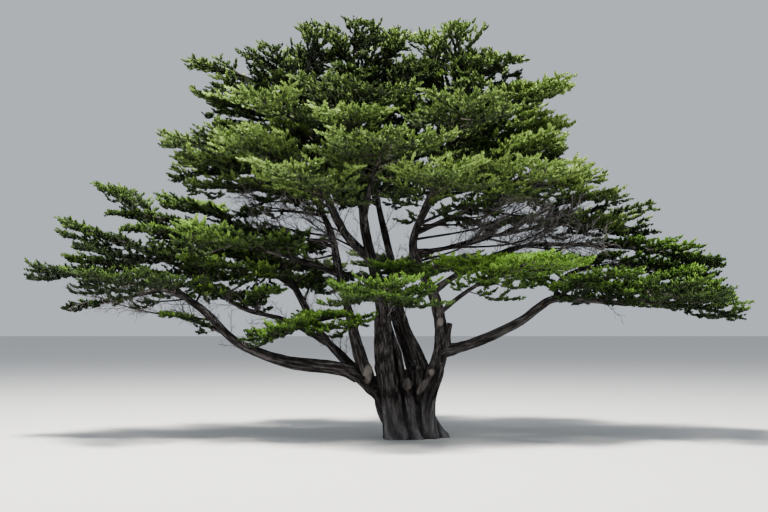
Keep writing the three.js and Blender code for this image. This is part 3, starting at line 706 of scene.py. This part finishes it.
# Smaller boughs that fill the crown between its shelves, with the same rows as the masses.
SMALL_BOUGHS = {
    "left_low": [
        ("left_low_bough", 0.7, (-8.9, -1, 4.5), 1.5, 0.6, 0.1, 0.1, -0.14),
        ("left_low_bough", 0.95, (-12.4, -0.6, 4.5), 1.3, 0.5, 0.35, 0, -0.14),
        ("left_back_stem", 0.84, (-7.5, -0.8, 6.1), 2, 0.9, 0.3, 0.1, 0.06),
        ("left_fork", 0.92, (-11.7, 0.6, 9.3), 1.4, 0.7, 0.4, 0.15, -0.16),
        ("left_low_bough", 1, (-12.3, -0.9, 6.25), 2.2, 0.8, 0.1, 0.1, -0.1),
        ("left_back_stem", 0.97, (-10.6, -0.2, 7.5), 2.8, 1, 0.05, 0.1, -0.1),
        ("left_back_stem", 1, (-11.3, 0.4, 8.2), 1.8, 0.7, 0.15, 0.1, -0.16),
        ("left_back_stem", 0.93, (-9.6, -0.6, 6.6), 2.6, 1, 0.1, 0.1, -0.1),
        ("left_riser", 0.9, (-6.3, -0.6, 7.9), 1.6, 0.6, 0.45, 0.1, -0.1),
        ("left_riser", 0.78, (-7, -0.2, 7.3), 2.4, 0.8, 0.25, 0.1, -0.1),
        ("left_riser", 0.8, (-5.3, -1.6, 6.75), 2.2, 0.8, 0.25, 0.1, -0.1)],
    "front_and_right_low": [
        ("centre_stem", 0.5, (-0.3, -3.6, 6.15), 2.8, 0.8, 0.3, 0.1, 0.08),
        ("left_riser", 0.5, (-3.4, -2.2, 3.75), 2, 0.8, 0.2, 0.1, 0.08),
        ("left_riser", 0.53, (-1.75, -1.9, 4), 1.7, 0.8, 0.2, 0.1, 0.08),
        ("right_low_bough", 0.98, (10.9, -1.5, 4.8), 3, 1.1, 0.02, 0.1, -0.02),
        ("right_low_bough", 0.9, (10.2, -0.9, 5.95), 2.6, 1, 0.2, 0.1, 0.04),
        ("right_stem", 0.6, (3.3, -3.2, 6), 2.2, 0.8, 0.1, 0.05, 0.4),
        ("right_low_bough", 0.62, (7.6, -2.2, 5.7), 2.6, 0.9, 0.1, 0.15, -0.02)],
    "crown_left": [
        ("centre_left_stem", 0.97, (-4.7, -0.4, 13.6), 1.8, 1.4, 0.05, 0.1, -0.06),
        ("centre_stem", 0.93, (-4.1, 0.9, 13.2), 2.8, 1.4, 0.05, 0.2, -0.1),
        ("centre_left_stem", 0.9, (-7.3, -0.7, 12.5), 3, 1.3, 0.05, 0.15, 0),
        ("centre_left_stem", 0.7, (-7.2, -0.3, 11.25), 2.8, 1, 0.2, 0.1, 0.14),
        ("centre_left_stem", 0.93, (-5.8, 0.3, 13.3), 2.4, 1.2, 0.1, 0.15, -0.1),
        ("centre_left_stem", 0.5, (-8.4, -0.7, 9.85), 3, 1.1, 0.25, 0.15, 0.14),
        ("centre_left_stem", 0.72, (-5, -1.6, 11), 2.8, 1.4, 0.1, 0.15, 0.14),
        ("left_riser", 0.97, (-8.2, -0.6, 8.9), 2.6, 1.2, 0.15, 0.05, 0.14),
        ("centre_stem", 0.97, (-1, 0.3, 14.7), 2, 1.6, 0.05, 0.1, -0.06)],
    "right_high": [
        ("right_stem", 0.9, (3.4, 0, 12.7), 2.2, 1.1, 0.1, 0.1, 0.04),
        ("right_high_fan", 0.5, (4.6, 0.4, 8.6), 2.6, 1, 0.1, 0.1, 0.5),
        ("right_stem", 0.72, (2.9, -0.8, 8.35), 2, 0.9, 0.2, 0.1, 0),
        ("right_high_fan", 0.8, (6.3, -0.6, 8.85), 3.2, 1.1, 0.1, 0.15, 0.5),
        ("right_stem", 0.78, (3.9, -1.6, 8.6), 2.8, 1, 0.15, 0.15, 0.4),
        ("right_stem", 0.85, (5.5, -0.3, 9.95), 2.8, 1.1, 0.1, 0.15, 0.1),
        ("right_stem", 0.94, (4.6, 0.4, 12.8), 2.6, 0.9, 0.1, 0.15, 0.34),
        ("right_stem", 0.9, (5, -0.5, 11.35), 2.6, 1.1, 0.1, 0.15, 0.34),
        ("right_mid_fan", 0.95, (7.9, 0.5, 7.4), 3, 1.2, 0.02, 0.12, 0.12),
        ("right_stem", 0.76, (4.2, 2.2, 10.9), 3.8, 1.6, 0.1, 0.15, 0.2)],
    "rear": [
        ("centre_left_stem", 0.6, (-6.4, 2.6, 10.6), 3.8, 1.6, 0.1, 0.15, -0.04),
        ("right_stem", 0.86, (3.6, 2.8, 12.2), 3.6, 1.6, 0.1, 0.15, -0.04)],
    "crown_front": [
        ("centre_stem", 0.88, (1, 0.3, 11.9), 3, 1.5, 0.1, 0.15, 0),
        ("centre_stem", 0.88, (-2.8, 0, 14.6), 2.4, 2, 0.1, 0.1, -0.06),
        ("right_stem", 0.9, (1.6, -0.2, 13.9), 2.2, 1.8, 0.1, 0.1, -0.06),
        ("right_stem", 0.93, (-0.6, 0.6, 12.6), 2.6, 1.4, 0.05, 0.1, 0),
        ("right_stem", 0.96, (-0.2, 0.4, 13.9), 2, 1.6, 0.05, 0.1, -0.06),
        ("centre_stem", 0.96, (1, -0.4, 13.1), 3, 1.6, 0.05, 0.15, -0.06),
        ("right_stem", 0.95, (0.2, -0.3, 14.6), 2.6, 1.8, 0.05, 0.1, -0.06),
        ("right_stem", 0.97, (2.4, 0.1, 14.15), 1.7, 1.4, 0.05, 0.1, -0.06),
        ("centre_stem", 0.8, (-2.2, -4.9, 11.1), 3, 0.7, 0.5, 0.1, 0.36)],
}
INNER_TURN = 2.4
INNER_SPREAD = 0.2
INNER_RISE = 0.45
INNER_WIDTH = 0.75
INNER_DEPTH = 0.45
INNER_BARE = 0.12
INNER_ARCH = 0.1
# Painted shade on the short boughs deep in the crown.
PAINTED_INNER_SHADE = -0.06
INNER_COARSENESS = 1.45
THIN_SIDES = 7
THIN_STEP = 0.15
THIN_FLUTE = 0.06
FIRST_SEED = 500


def on_bend(start, bend, end, share):
    return (1 - share) ** 2 * start + 2 * share * (1 - share) * bend + share**2 * end


def lie_of(row):
    """The stem's curve and the three directions of one mass."""
    on, at, tip, width, depth, bare, arch, tone = row
    foot, tip = limbs[on].place(at), np.array(tip, float)
    ahead = tip - foot
    middle = (foot + tip) / 2 + UP * arch * np.linalg.norm(ahead)
    ahead = unit(ahead)
    steep = ahead[2] > STEEP
    if not steep:
        ahead[2] *= LEVELLING
    ahead = unit(ahead)
    side = unit(np.array([-ahead[1], ahead[0], 0.0]))

    def place(share):
        return on_bend(foot, middle, tip, np.asarray(share, float)[..., None])

    heart = place(bare + (1 - bare) * HEART_PLACE)
    ceiling = (tip[2] if steep else max(tip[2], heart[2] + depth / 2)) + CEILING
    thick = STEM_GIRTH_A_METRE * np.linalg.norm(tip - foot) + STEM_GIRTH
    return SimpleNamespace(
        place=place, ahead=ahead, side=side, up=np.cross(ahead, side), steep=bool(steep), width=width,
        depth=depth, bare=bare, tone=tone, tip=tip, heart=heart, ceiling=ceiling, thick=thick)


def held(amount, limit):
    """The amount, drawn back smoothly to stay under the limit."""
    over = np.maximum(0, amount - (limit - RIM))
    return amount - over + RIM * np.tanh(over / RIM)


def grow(row, seed, coarse):
    """Grows one mass: rows of bent twigs, of their fine side twigs, and of the sprays that clothe them all.
    A twig's row holds its root, bend and end, its girth at root and end, its tone and its bare share."""
    lie = lie_of(row)
    draw = np.random.default_rng(seed)
    place, ahead, side, up, tip, bare = lie.place, lie.ahead, lie.side, lie.up, lie.tip, lie.bare
    leafy = np.linalg.norm(tip - place(bare))
    half_width = lie.width * 0.5 - SIDE_ROOM
    twigs = []
    count = int(leafy / TWIG_SPACING * (PLUME_CROWDING if lie.steep else 1))
    for k in range(-1, count):
        s = max(0, k + 0.6 * draw.random()) / count
        root = place(bare + (LAST_TWIG - bare) * s)
        room = (tip - root) @ ahead - TIP_ROOM
        # Narrow at the foot, widest before the middle, and drawn in towards the tip.
        shape = 1 - 0.88 * max(0, s / 0.6 - 0.67) ** 1.4 - 0.5 * max(0, 1 - s / 0.4) ** 2
        outward = up
        if k < 0:
            root, bend, end = place([*(bare + part * (1 - bare) for part in TIP_TWIG), 1.0])
            end = end - ahead * TIP_ROOM
            reach = np.linalg.norm(end - root)
            outward = side if lie.steep else up
        elif lie.steep:
            spin = draw.uniform(0, 2 * np.pi)
            outward = side * np.cos(spin) + up * np.sin(spin) * lie.depth / lie.width
            heading = unit(outward + ahead * draw.uniform(*CLIMB))
            reach = half_width * shape * draw.uniform(*PLUME_REACH) / np.linalg.norm(outward) * PLUME_SWELL
            reach = max(LEAST_REACH, min(reach, room / (heading @ ahead)))
            end = root + heading * reach
            bend = (root + end) / 2 + outward * 0.12 * reach
        else:
            hand = 1 if k % 2 else -1
            lean = np.radians(draw.uniform(*TWIG_LEAN) + TIP_LEAN * s)
            heading = side * hand * np.cos(lean) + ahead * np.sin(lean)
            reach = half_width * shape / np.cos(lean) * draw.uniform(*SHELF_REACH)
            reach = max(LEAST_REACH, min(reach, room / (heading @ ahead)))
            level = draw.choice(TIERS) + draw.uniform(-TIER_SPREAD, TIER_SPREAD)
            level = level * lie.depth * (1 - 0.6 * s)
            end = root + heading * reach + up * level
            bend = (root + end) / 2 + up * level * 0.4 - UP * TWIG_SAG * reach
        end[2] = held(end[2], lie.ceiling - 0.2)
        twig_tone = lie.tone + draw.normal(0, TWIG_TONE_SPREAD)
        girth = TWIG_END + TWIG_TAPER * reach
        twigs.append([*root, *bend, *end, girth, TWIG_END, twig_tone, TWIG_BARE if k >= 0 else 0.0])
        along = unit(end - bend)
        across = unit(np.cross(outward, along))
        number = max(2, int(reach / SIDE_TWIG_SPACING))
        t = ((np.arange(number) + draw.uniform(0.3, 1, number)) / number)[:, None]
        starts = on_bend(root, bend, end, t)
        tilt = draw.uniform(*SIDE_TWIG_TILT[lie.steep], (number, 1))
        hands = np.where(np.arange(number) % 2, 1, -1)[:, None]
        sideways = across * hands * np.cos(tilt) + np.cross(along, across) * np.sin(tilt)
        outs = unit(along + sideways * draw.uniform(*SIDE_TWIG_SPREAD, (number, 1)))
        lengths = draw.uniform(*SIDE_TWIG_LENGTH, (number, 1)) * (1 - 0.45 * t) * min(1, 0.5 + reach / 2)
        stops = starts + outs * lengths + UP * SIDE_TWIG_RISE * lengths
        stops[:, 2] = held(stops[:, 2], lie.ceiling - 0.1)
        bends = (starts + stops) / 2 - UP * TWIG_SAG * lengths
        girths = np.tile([FINE_GIRTH, 0.0], (number, 1))
        tones = twig_tone + draw.normal(0, SIDE_TWIG_TONE_SPREAD, (number, 1))
        bare_shares = np.full((number, 1), SIDE_TWIG_BARE)
        twigs += np.hstack([starts, bends, stops, girths, tones, bare_shares]).tolist()
    twigs = np.array(twigs)
    pointed = twigs[:, 10] == 0
    return twigs[~pointed], twigs[pointed][:, [0, 1, 2, 6, 7, 8]], clothe(twigs, lie, leafy, draw, coarse)


def clothe(twigs, lie, leafy, draw, coarse):
    """Sprays all round each twig from its leafless foot on, close and leaning forward, like a fox's tail."""
    length = np.linalg.norm(twigs[:, 6:9] - twigs[:, :3], axis=1) * (1 - twigs[:, 12])
    each = np.maximum(2, np.round(length / SPRAY_SPACING / coarse).astype(int))
    row = np.repeat(twigs, each, axis=0)
    order = np.concatenate([(np.arange(n) + draw.random(n)) / n for n in each])
    order[np.cumsum(each) - 1] = 1
    t = (row[:, 12] + (1 - row[:, 12]) * order)[:, None]
    starts, bends, stops = row[:, :3], row[:, 3:6], row[:, 6:9]
    roots = on_bend(starts, bends, stops, t)
    along = unit((1 - t) * (bends - starts) + t * (stops - bends))
    turn = draw.uniform(0, 2 * np.pi, (len(row), 1))
    side = unit(np.cross(along, UP) + 1e-6)
    around = side * np.cos(turn) + np.cross(side, along) * np.sin(turn)
    spread = draw.uniform(*SPRAY_SPREAD, (len(row), 1)) * (1 - 0.6 * t**4)
    heads = unit(along + around * spread + UP * SPRAY_RISE)
    tips = roots + heads * draw.uniform(*SPRAY_LENGTH, (len(row), 1)) * coarse * (1 - 0.3 * t)
    tips[:, 2] = held(tips[:, 2], lie.ceiling + 0.1)
    rise = (roots - lie.heart) @ (UP if lie.steep else lie.up) / (lie.depth * 0.5)
    flat = (tips - lie.heart) @ np.stack([lie.ahead, lie.side]).T
    out = np.linalg.norm(flat / [leafy / 2, lie.width / 2], axis=1)
    # painted light on top, at the rim and on the upper side of each twig; painted shade below and within
    tone = (row[:, 11] + MIDDLE_TONE + PAINTED_TOP_LIGHT * np.clip(rise, *PAINTED_TOP_LIGHT_LIMITS)
            + PAINTED_RIM_LIGHT * (out - PAINTED_RIM_LIGHT_MIDDLE) + PAINTED_TUFT_LIGHT * around[:, 2])
    return np.column_stack([roots, tips, tone + draw.normal(0, SPRAY_TONE_SPREAD, len(row))])


def ring_of_three(starts, stops):
    """Three directions square to each of many lines, a third of a turn apart."""
    along = unit(stops - starts)
    side = unit(np.cross(along, np.where(np.abs(along[:, 2:]) > 0.9, [[1.0, 0, 0]], [[0, 0, 1.0]])))
    other = np.cross(along, side)
    angle = np.arange(3) * 2 * np.pi / 3
    return np.cos(angle)[None, :, None] * side[:, None] + np.sin(angle)[None, :, None] * other[:, None]


def copies(corners, one):
    """Many bodies with the same faces, as one set of corners and faces."""
    faces = np.array(one)[None] + np.arange(len(corners))[:, None, None] * corners.shape[1]
    return corners.reshape(-1, 3), faces.reshape(-1, 3)


def bent_twigs(twigs):
    """Three-sided tapering twigs, each with one bend."""
    starts, bends, ends = twigs[:, :3], twigs[:, 3:6], twigs[:, 6:9]
    radii = np.stack([twigs[:, 9], (twigs[:, 9] + twigs[:, 10]) / 2, twigs[:, 10]], 1)
    centres = np.stack([starts, bends * 0.5 + (starts + ends) * 0.25, ends], 1)
    rings = centres[:, :, None] + radii[:, :, None, None] * ring_of_three(starts, ends)[:, None]
    one = []
    for ring in range(2):
        for j in range(3):
            a, b = ring * 3 + j, ring * 3 + (j + 1) % 3
            one += [(a, b, b + 3), (a, b + 3, a + 3)]
    one += [(2, 1, 0), (6, 7, 8)]
    return copies(rings.reshape(-1, 9, 3), one)


def straight_twigs(ends, girth):
    """Three-sided twigs that run out to a point, from rows of both their ends."""
    starts, stops = ends[:, :3], ends[:, -3:]
    ring = starts[:, None] + girth * ring_of_three(starts, stops)
    corners = np.concatenate([ring, stops[:, None]], 1)
    return copies(corners, [(0, 1, 3), (1, 2, 3), (2, 0, 3), (2, 1, 0)])


def both_twigs(twigs, fine_twigs, girth):
    """Bent twigs and straight ones as one set of corners and faces."""
    bent, straight = bent_twigs(twigs), straight_twigs(fine_twigs, girth)
    return np.vstack([bent[0], straight[0]]), np.vstack([bent[1], straight[1] + len(bent[0])])


def spray_pattern(draw):
    """One spray lying along X: slim pointed shoots all round a cord and broad ones at its heart, with how
    much painted light and shade each gets: paler facing up, darker facing down, and darkest at the heart."""
    blades, painted_light_and_shade = [], []
    for k in range(SHOOTS):
        turn = SHOOT_TURN * k + draw.uniform(-SHOOT_TURN_SPREAD, SHOOT_TURN_SPREAD)
        outward = np.array([0, np.cos(turn), np.sin(turn)])
        inner = k >= SHOOTS - HEART_SHOOTS
        lean = HEART_LEAN if inner else np.radians(draw.uniform(*SHOOT_LEAN))
        heading = np.array([np.cos(lean), 0, 0]) + outward * np.sin(lean)
        start = np.array([0.0 if inner else 0.02 + SHOOTS_ALONG * k / SHOOTS, 0, 0])
        length = HEART_LENGTH if inner else draw.uniform(*SHOOT_LENGTH) * (1 + 0.15 * outward[2])
        width = HEART_WIDTH if inner else draw.uniform(*SHOOT_WIDTH)
        half = unit(np.cross(heading, outward)) * width / 2
        foot = start + heading * length * 0.2
        blades.append([foot - half, foot + half, start + heading * length])
        # painted light on upward shoots, painted shade on downward ones and at the heart
        painted_light_and_shade.append(PAINTED_HEART_SHADE if inner else PAINTED_SHOOT_LIGHT * outward[2])
    return np.array(blades).reshape(-1, 3), painted_light_and_shade


def spray_mesh(sprays, seed):
    """All of a group's sprays as one set of corners and faces, with the shade of green of each face."""
    draw = np.random.default_rng(seed)
    patterns = [spray_pattern(draw) for _ in range(SPRAY_PATTERNS)]
    length = np.linalg.norm(sprays[:, 3:6] - sprays[:, :3], axis=1)
    ahead = unit(sprays[:, 3:6] - sprays[:, :3])
    side = unit(np.cross(UP, ahead) + 1e-6)
    top = np.cross(ahead, side)
    turn = np.stack([ahead, side, top], 1)
    kind = draw.integers(0, len(patterns), len(sprays))
    local, painted_light_and_shade = (np.array(parts)[kind] for parts in zip(*patterns))
    corners = sprays[:, None, :3] + np.einsum("nvk,nkx->nvx", local * length[:, None, None], turn)
    faces = np.arange(len(sprays) * SHOOTS * 3).reshape(-1, 3)
    tone = sprays[:, 6][:, None] + painted_light_and_shade + draw.normal(0, SPRAY_TONE_SPREAD, painted_light_and_shade.shape)
    shade = np.clip((tone * len(LIT_AND_SHADED_GREENS)).astype(int), 0, len(LIT_AND_SHADED_GREENS) - 1)
    return corners.reshape(-1, 3), faces, shade.ravel()


def triangle_piece(name, corners, faces, finishes, finish_of_face):
    """A flat-shaded piece of triangles only, which has a finish for each of them."""
    mesh = bpy.data.meshes.new(name)
    mesh.vertices.add(len(corners))
    mesh.vertices.foreach_set("co", corners.astype(np.float32).ravel())
    mesh.loops.add(faces.size)
    mesh.loops.foreach_set("vertex_index", faces.astype(np.int32).ravel())
    mesh.polygons.add(len(faces))
    mesh.polygons.foreach_set("loop_start", np.arange(0, faces.size, 3, dtype=np.int32))
    for finish in finishes:
        mesh.materials.append(finish)
    mesh.polygons.foreach_set("material_index", finish_of_face.astype(np.int32))
    mesh.update(calc_edges=True)
    mesh.shade_flat()
    return place_in_scene(name, mesh)


def plain_finish(name, colour, roughness, specular):
    finish, _, shader = new_finish(name)
    shader.inputs["Base Color"].default_value = (*colour, 1)
    shader.inputs["Roughness"].default_value = roughness
    shader.inputs["Specular IOR Level"].default_value = specular
    return finish


def plain_finishes(name, colours, roughness, specular):
    return [plain_finish(f"{name}_{k}", colour, roughness, specular) for k, colour in enumerate(colours)]


def inner_rows(on, start, end, count, length):
    """The rows of short boughs of various lengths, all round a stretch of a limb."""
    rows = []
    for k in range(count):
        at = start + (end - start) * (k + 0.5) / count
        turn = INNER_TURN * k + len(on)
        size = length * (1 - INNER_SPREAD + INNER_SPREAD * np.cos(5 * k))
        tip = limbs[on].place(at) + size * np.array([np.cos(turn), np.sin(turn), INNER_RISE])
        width, depth = INNER_WIDTH * size, INNER_DEPTH * size
        rows.append((on, at, tip, width, depth, INNER_BARE, INNER_ARCH, PAINTED_INNER_SHADE))
    return rows


def mass_stem(row, turn):
    lie = lie_of(row)

    def girth(share):
        return lie.thick * (1 - share) + STEM_TIP_GIRTH

    return tube(lie.place, girth, 0, STEM_END, THIN_SIDES, THIN_STEP, THIN_FLUTE, turn)


twig_wood = plain_finishes("twig_wood", TWIG_WOOD, TWIG_ROUGHNESS, TWIG_SPECULAR)

seed = FIRST_SEED
for group, masses in MASSES.items():
    inner = [row for stretch in INNER[group] for row in inner_rows(*stretch)]
    rows = [*masses.values(), *inner, *SMALL_BOUGHS[group]]
    coarseness = [1] * len(masses) + [INNER_COARSENESS] * len(inner) + [1] * len(SMALL_BOUGHS[group])
    grown = [grow(row, seed + k, coarse) for k, (row, coarse) in enumerate(zip(rows, coarseness), 1)]
    seed += len(rows)
    stems = joined([mass_stem(row, float(k)) for k, row in enumerate(rows)])
    branches = make_piece(group + "_branches", *stems, bark)
    twigs, fine_twigs, sprays = (np.vstack(parts) for parts in zip(*grown))
    corners, faces = both_twigs(twigs, fine_twigs, FINE_GIRTH)
    wood_of_face = np.arange(len(faces)) // WOOD_RUN % len(twig_wood)
    twig_piece = triangle_piece(group + "_twigs", corners, faces, twig_wood, wood_of_face)
    corners, faces, shade = spray_mesh(sprays, seed)
    colours = np.array(LIT_AND_SHADED_GREENS) * FRESH.get(group, (1, 1, 1))
    # lit and shaded copies of one green, for the painted light and shade of the sprays
    lit_and_shaded_greens = plain_finishes(group + "_lit_and_shaded_green", colours, LEAF_ROUGHNESS, LEAF_SPECULAR)
    spray_piece = triangle_piece(group + "_sprays", corners, faces, lit_and_shaded_greens, shade)
    for piece, slot in ((branches, "bark"), (twig_piece, "foliage"), (spray_piece, "foliage")):
        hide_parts(*masses)
        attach(piece, "root")


# The bare twigs. Old shaded wood that has lost its leaves: thin grey twigs with short side twigs, thick
# under the shelves and along the inner boughs. They grow from the boughs, as the leafy ones do.

# Bare boughs of each limb: the share of its length, where the tip is, and how thick.
BARE_BOUGHS = {
    "right_stem": [
        (0.64, (4.4, -1.2, 7.9), 0.05), (0.68, (4.7, 0.2, 8.6), 0.05), (0.62, (3.2, 0.9, 8.2), 0.045),
        (0.72, (3.6, -0.9, 8.5), 0.045)],
    "right_low_fan": [
        (0.35, (5.3, 2, 7.6), 0.045), (0.6, (7.4, 0, 6.3), 0.04), (0.75, (6.3, 0.1, 7.2), 0.04)],
    "right_mid_fan": [
        (0.4, (5.8, -0.8, 8.1), 0.045), (0.7, (6.7, -1, 6.9), 0.04), (0.9, (5.9, 1.4, 8.7), 0.04)],
    "right_high_fan": [(0.3, (4, 1.6, 8.7), 0.04), (0.5, (5.4, -0.2, 8), 0.04)],
    "left_riser": [
        (0.9, (-5.8, -0.5, 8.3), 0.05), (0.82, (-5.4, -1, 7.6), 0.05), (0.97, (-6.4, 0.8, 8.8), 0.045),
        (0.75, (-4.9, 0.9, 7.1), 0.045)],
    "left_back_stem": [(0.9, (-6.2, 1.6, 8), 0.045), (0.95, (-7.2, 0.4, 7.4), 0.04)],
    "centre_left_stem": [(0.1, (-4.4, 1.2, 8.3), 0.045), (0.25, (-4.9, -0.8, 8.9), 0.04)],
    "left_low_bough": [
        (0.8, (-11.4, -1.2, 5.1), 0.045), (0.9, (-10.1, 0.8, 5.2), 0.04), (0.72, (-8.4, 0.4, 4.6), 0.035)],
}
# Twigs straight from a limb: the limb, the stretch of it, how many, and how long.
BARE_TWIGS = [
    ("right_low_fan", 0.5, 1, 13, 1.3), ("right_mid_fan", 0.4, 1, 17, 1.2),
    ("right_high_fan", 0.15, 1, 18, 1.3), ("right_low_bough", 0.8, 1, 6, 0.9),
    ("right_upper_fork", 0.2, 1, 8, 1),
    ("right_stem", 0.6, 0.8, 8, 1.1), ("left_back_stem", 0.42, 1, 20, 1.3), ("left_riser", 0.5, 1, 26, 1.4),
    ("left_low_bough", 0.6, 1, 14, 1), ("left_fork", 0.25, 1, 14, 1.2),
    ("centre_left_stem", 0.06, 0.6, 16, 1.3), ("centre_stem", 0.42, 0.75, 10, 1.2),
    ("rear_bough", 0.5, 1, 14, 1.3), ("back_stem", 0.45, 0.85, 10, 1.3)]
BARE_SEED = 77
BARE_BOUGH_END = 0.012
BARE_BOUGH_SAG = 0.08
BARE_FROM = 0.35
BARE_TWIGS_A_METRE = 6.5
BARE_TWIG_LENGTH = 0.95
BARE_TWIG_REACH = (0.5, 1.15)
BARE_TWIG_HEADING = ((0.4, 1.1), (0.4, 1), (0, 0.6))
BARE_TWIG_SAG = 0.06
BARE_SPACING = 0.1
BARE_SIDE_LENGTH = (0.15, 0.55)
BARE_FORKS = (0.4, 0.75)
BARE_FORK_LENGTH = (0.07, 0.24)
BARE_GIRTH = 0.009
BARE_WOOD = [(0.130, 0.120, 0.118), (0.070, 0.062, 0.060), (0.190, 0.176, 0.172)]


def grow_bare(limb, start, end, count, length, draw):
    """Bare twigs along a stretch of a limb: rows of bent twigs and rows of straight fine ones."""
    twigs, fine_twigs = [], []
    for k in range(count):
        at = start + (end - start) * (k + draw.random()) / count
        root, beyond = limb.place(np.array([at, min(1, at + 0.02)]))
        along = unit(beyond - root + 1e-6)
        around = unit(np.cross(along, draw.normal(0, 1, 3)))
        forward, sideways, upward = (draw.uniform(*span) for span in BARE_TWIG_HEADING)
        heading = unit(along * forward + around * sideways + UP * upward)
        reach = length * draw.uniform(*BARE_TWIG_REACH)
        stop = root + heading * reach
        bend = (root + stop) / 2 - UP * BARE_TWIG_SAG * reach
        twigs.append([*root, *bend, *stop, 0.006 + 0.01 * reach, 0.005])
        number = int(reach / BARE_SPACING)
        t = (np.arange(number)[:, None] + draw.uniform(0, 1, (number, 1))) / number
        starts = on_bend(root, bend, stop, t)
        outs = unit(heading + 0.9 * unit(np.cross(heading, draw.normal(0, 1, (number, 3)))) + 0.15 * UP)
        stops = starts + outs * draw.uniform(*BARE_SIDE_LENGTH, (number, 1)) * (1 - 0.5 * t)
        fine_twigs.append(np.hstack([starts, stops]))
        for share in BARE_FORKS:
            turned = unit(outs + 0.8 * unit(np.cross(outs, draw.normal(0, 1, (number, 3)))))
            roots = starts + (stops - starts) * share
            tips = roots + turned * draw.uniform(*BARE_FORK_LENGTH, (number, 1))
            fine_twigs.append(np.hstack([roots, tips]))
    return np.array(twigs), np.vstack(fine_twigs)


bare_wood = plain_finishes("bare_wood", BARE_WOOD, TWIG_ROUGHNESS, TWIG_SPECULAR)
draw = np.random.default_rng(BARE_SEED)
grown = [grow_bare(limbs[on], *stretch, draw) for on, *stretch in BARE_TWIGS]
bare_boughs = []
for on, rows in BARE_BOUGHS.items():
    for at, tip, thick in rows:
        root, tip = limbs[on].place(at), np.array(tip)
        length = np.linalg.norm(tip - root)
        sag = root * 0.45 + tip * 0.55 - UP * BARE_BOUGH_SAG * length + draw.normal(0, 0.12, 3)
        bough = grow_bough(on, at, thick, BARE_BOUGH_END, [sag, tip])
        bare_boughs.append(tube(bough.place, bough.girth, 0, 1, THIN_SIDES, THIN_STEP, THIN_FLUTE, at * 9))
        count = int(length * BARE_TWIGS_A_METRE)
        grown.append(grow_bare(bough, BARE_FROM, 1, count, BARE_TWIG_LENGTH, draw))
corners, faces = both_twigs(*(np.vstack(parts) for parts in zip(*grown)), BARE_GIRTH)
wood_of_face = np.arange(len(faces)) // 4 % len(bare_wood)
bare_twigs = triangle_piece("bare_twigs", corners, faces, bare_wood, wood_of_face)
for piece in (bare_twigs, make_piece("bare_boughs", *joined(bare_boughs), bark)):
    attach(piece, "root")


# The stage: a plain pale floor, soft light from a wide panel overhead and a paler fill, and the camera
# at the height and distance of the photograph.

FLOOR_SIZE = 4000.0
FLOOR_GREY = (0.62, 0.62, 0.61)
PANEL_PLACE = (-9, -12, 50)
PANEL_AIM = (-1, 0, 7)
PANEL_SIZE = 9
PANEL_POWER = 125000
PANEL_COLOUR = (1.0, 0.97, 0.92)
FILL_COLOUR = (0.78, 0.84, 0.92, 1)
FILL_STRENGTH = 0.7
CAMERA_PLACE = (-1.04, -41.17, 3.69)
CAMERA_RISE = 3.88
CAMERA_LENS = 53.9
CAMERA_SENSOR = 36
CAMERA_REACH = 5000

half = FLOOR_SIZE / 2
corners = np.array([(-half, -half, 0), (half, -half, 0), (half, half, 0), (-half, half, 0)])
floor = make_piece("floor", corners, [(0, 1, 2, 3)])
floor.data.materials.append(plain_finish("floor", FLOOR_GREY, 0.9, 0.1))

light = bpy.data.lights.new("overhead", "AREA")
light.shape = "SQUARE"
light.size = PANEL_SIZE
light.energy = PANEL_POWER
light.color = PANEL_COLOUR
lamp = place_in_scene("overhead", light)
lamp.location = PANEL_PLACE
lamp.rotation_euler = (Vector(PANEL_AIM) - Vector(PANEL_PLACE)).to_track_quat("-Z", "Y").to_euler()

world = bpy.data.worlds.new("room")
world.use_nodes = True
fill = world.node_tree.nodes["Background"]
fill.inputs["Color"].default_value = FILL_COLOUR
fill.inputs["Strength"].default_value = FILL_STRENGTH
bpy.context.scene.world = world

camera = place_in_scene("camera", bpy.data.cameras.new("camera"))
camera.data.sensor_width = CAMERA_SENSOR
camera.data.lens = CAMERA_LENS
camera.data.clip_end = CAMERA_REACH
camera.location = CAMERA_PLACE
camera.rotation_euler = (np.radians(90 + CAMERA_RISE), 0, 0)
bpy.context.scene.camera = camera
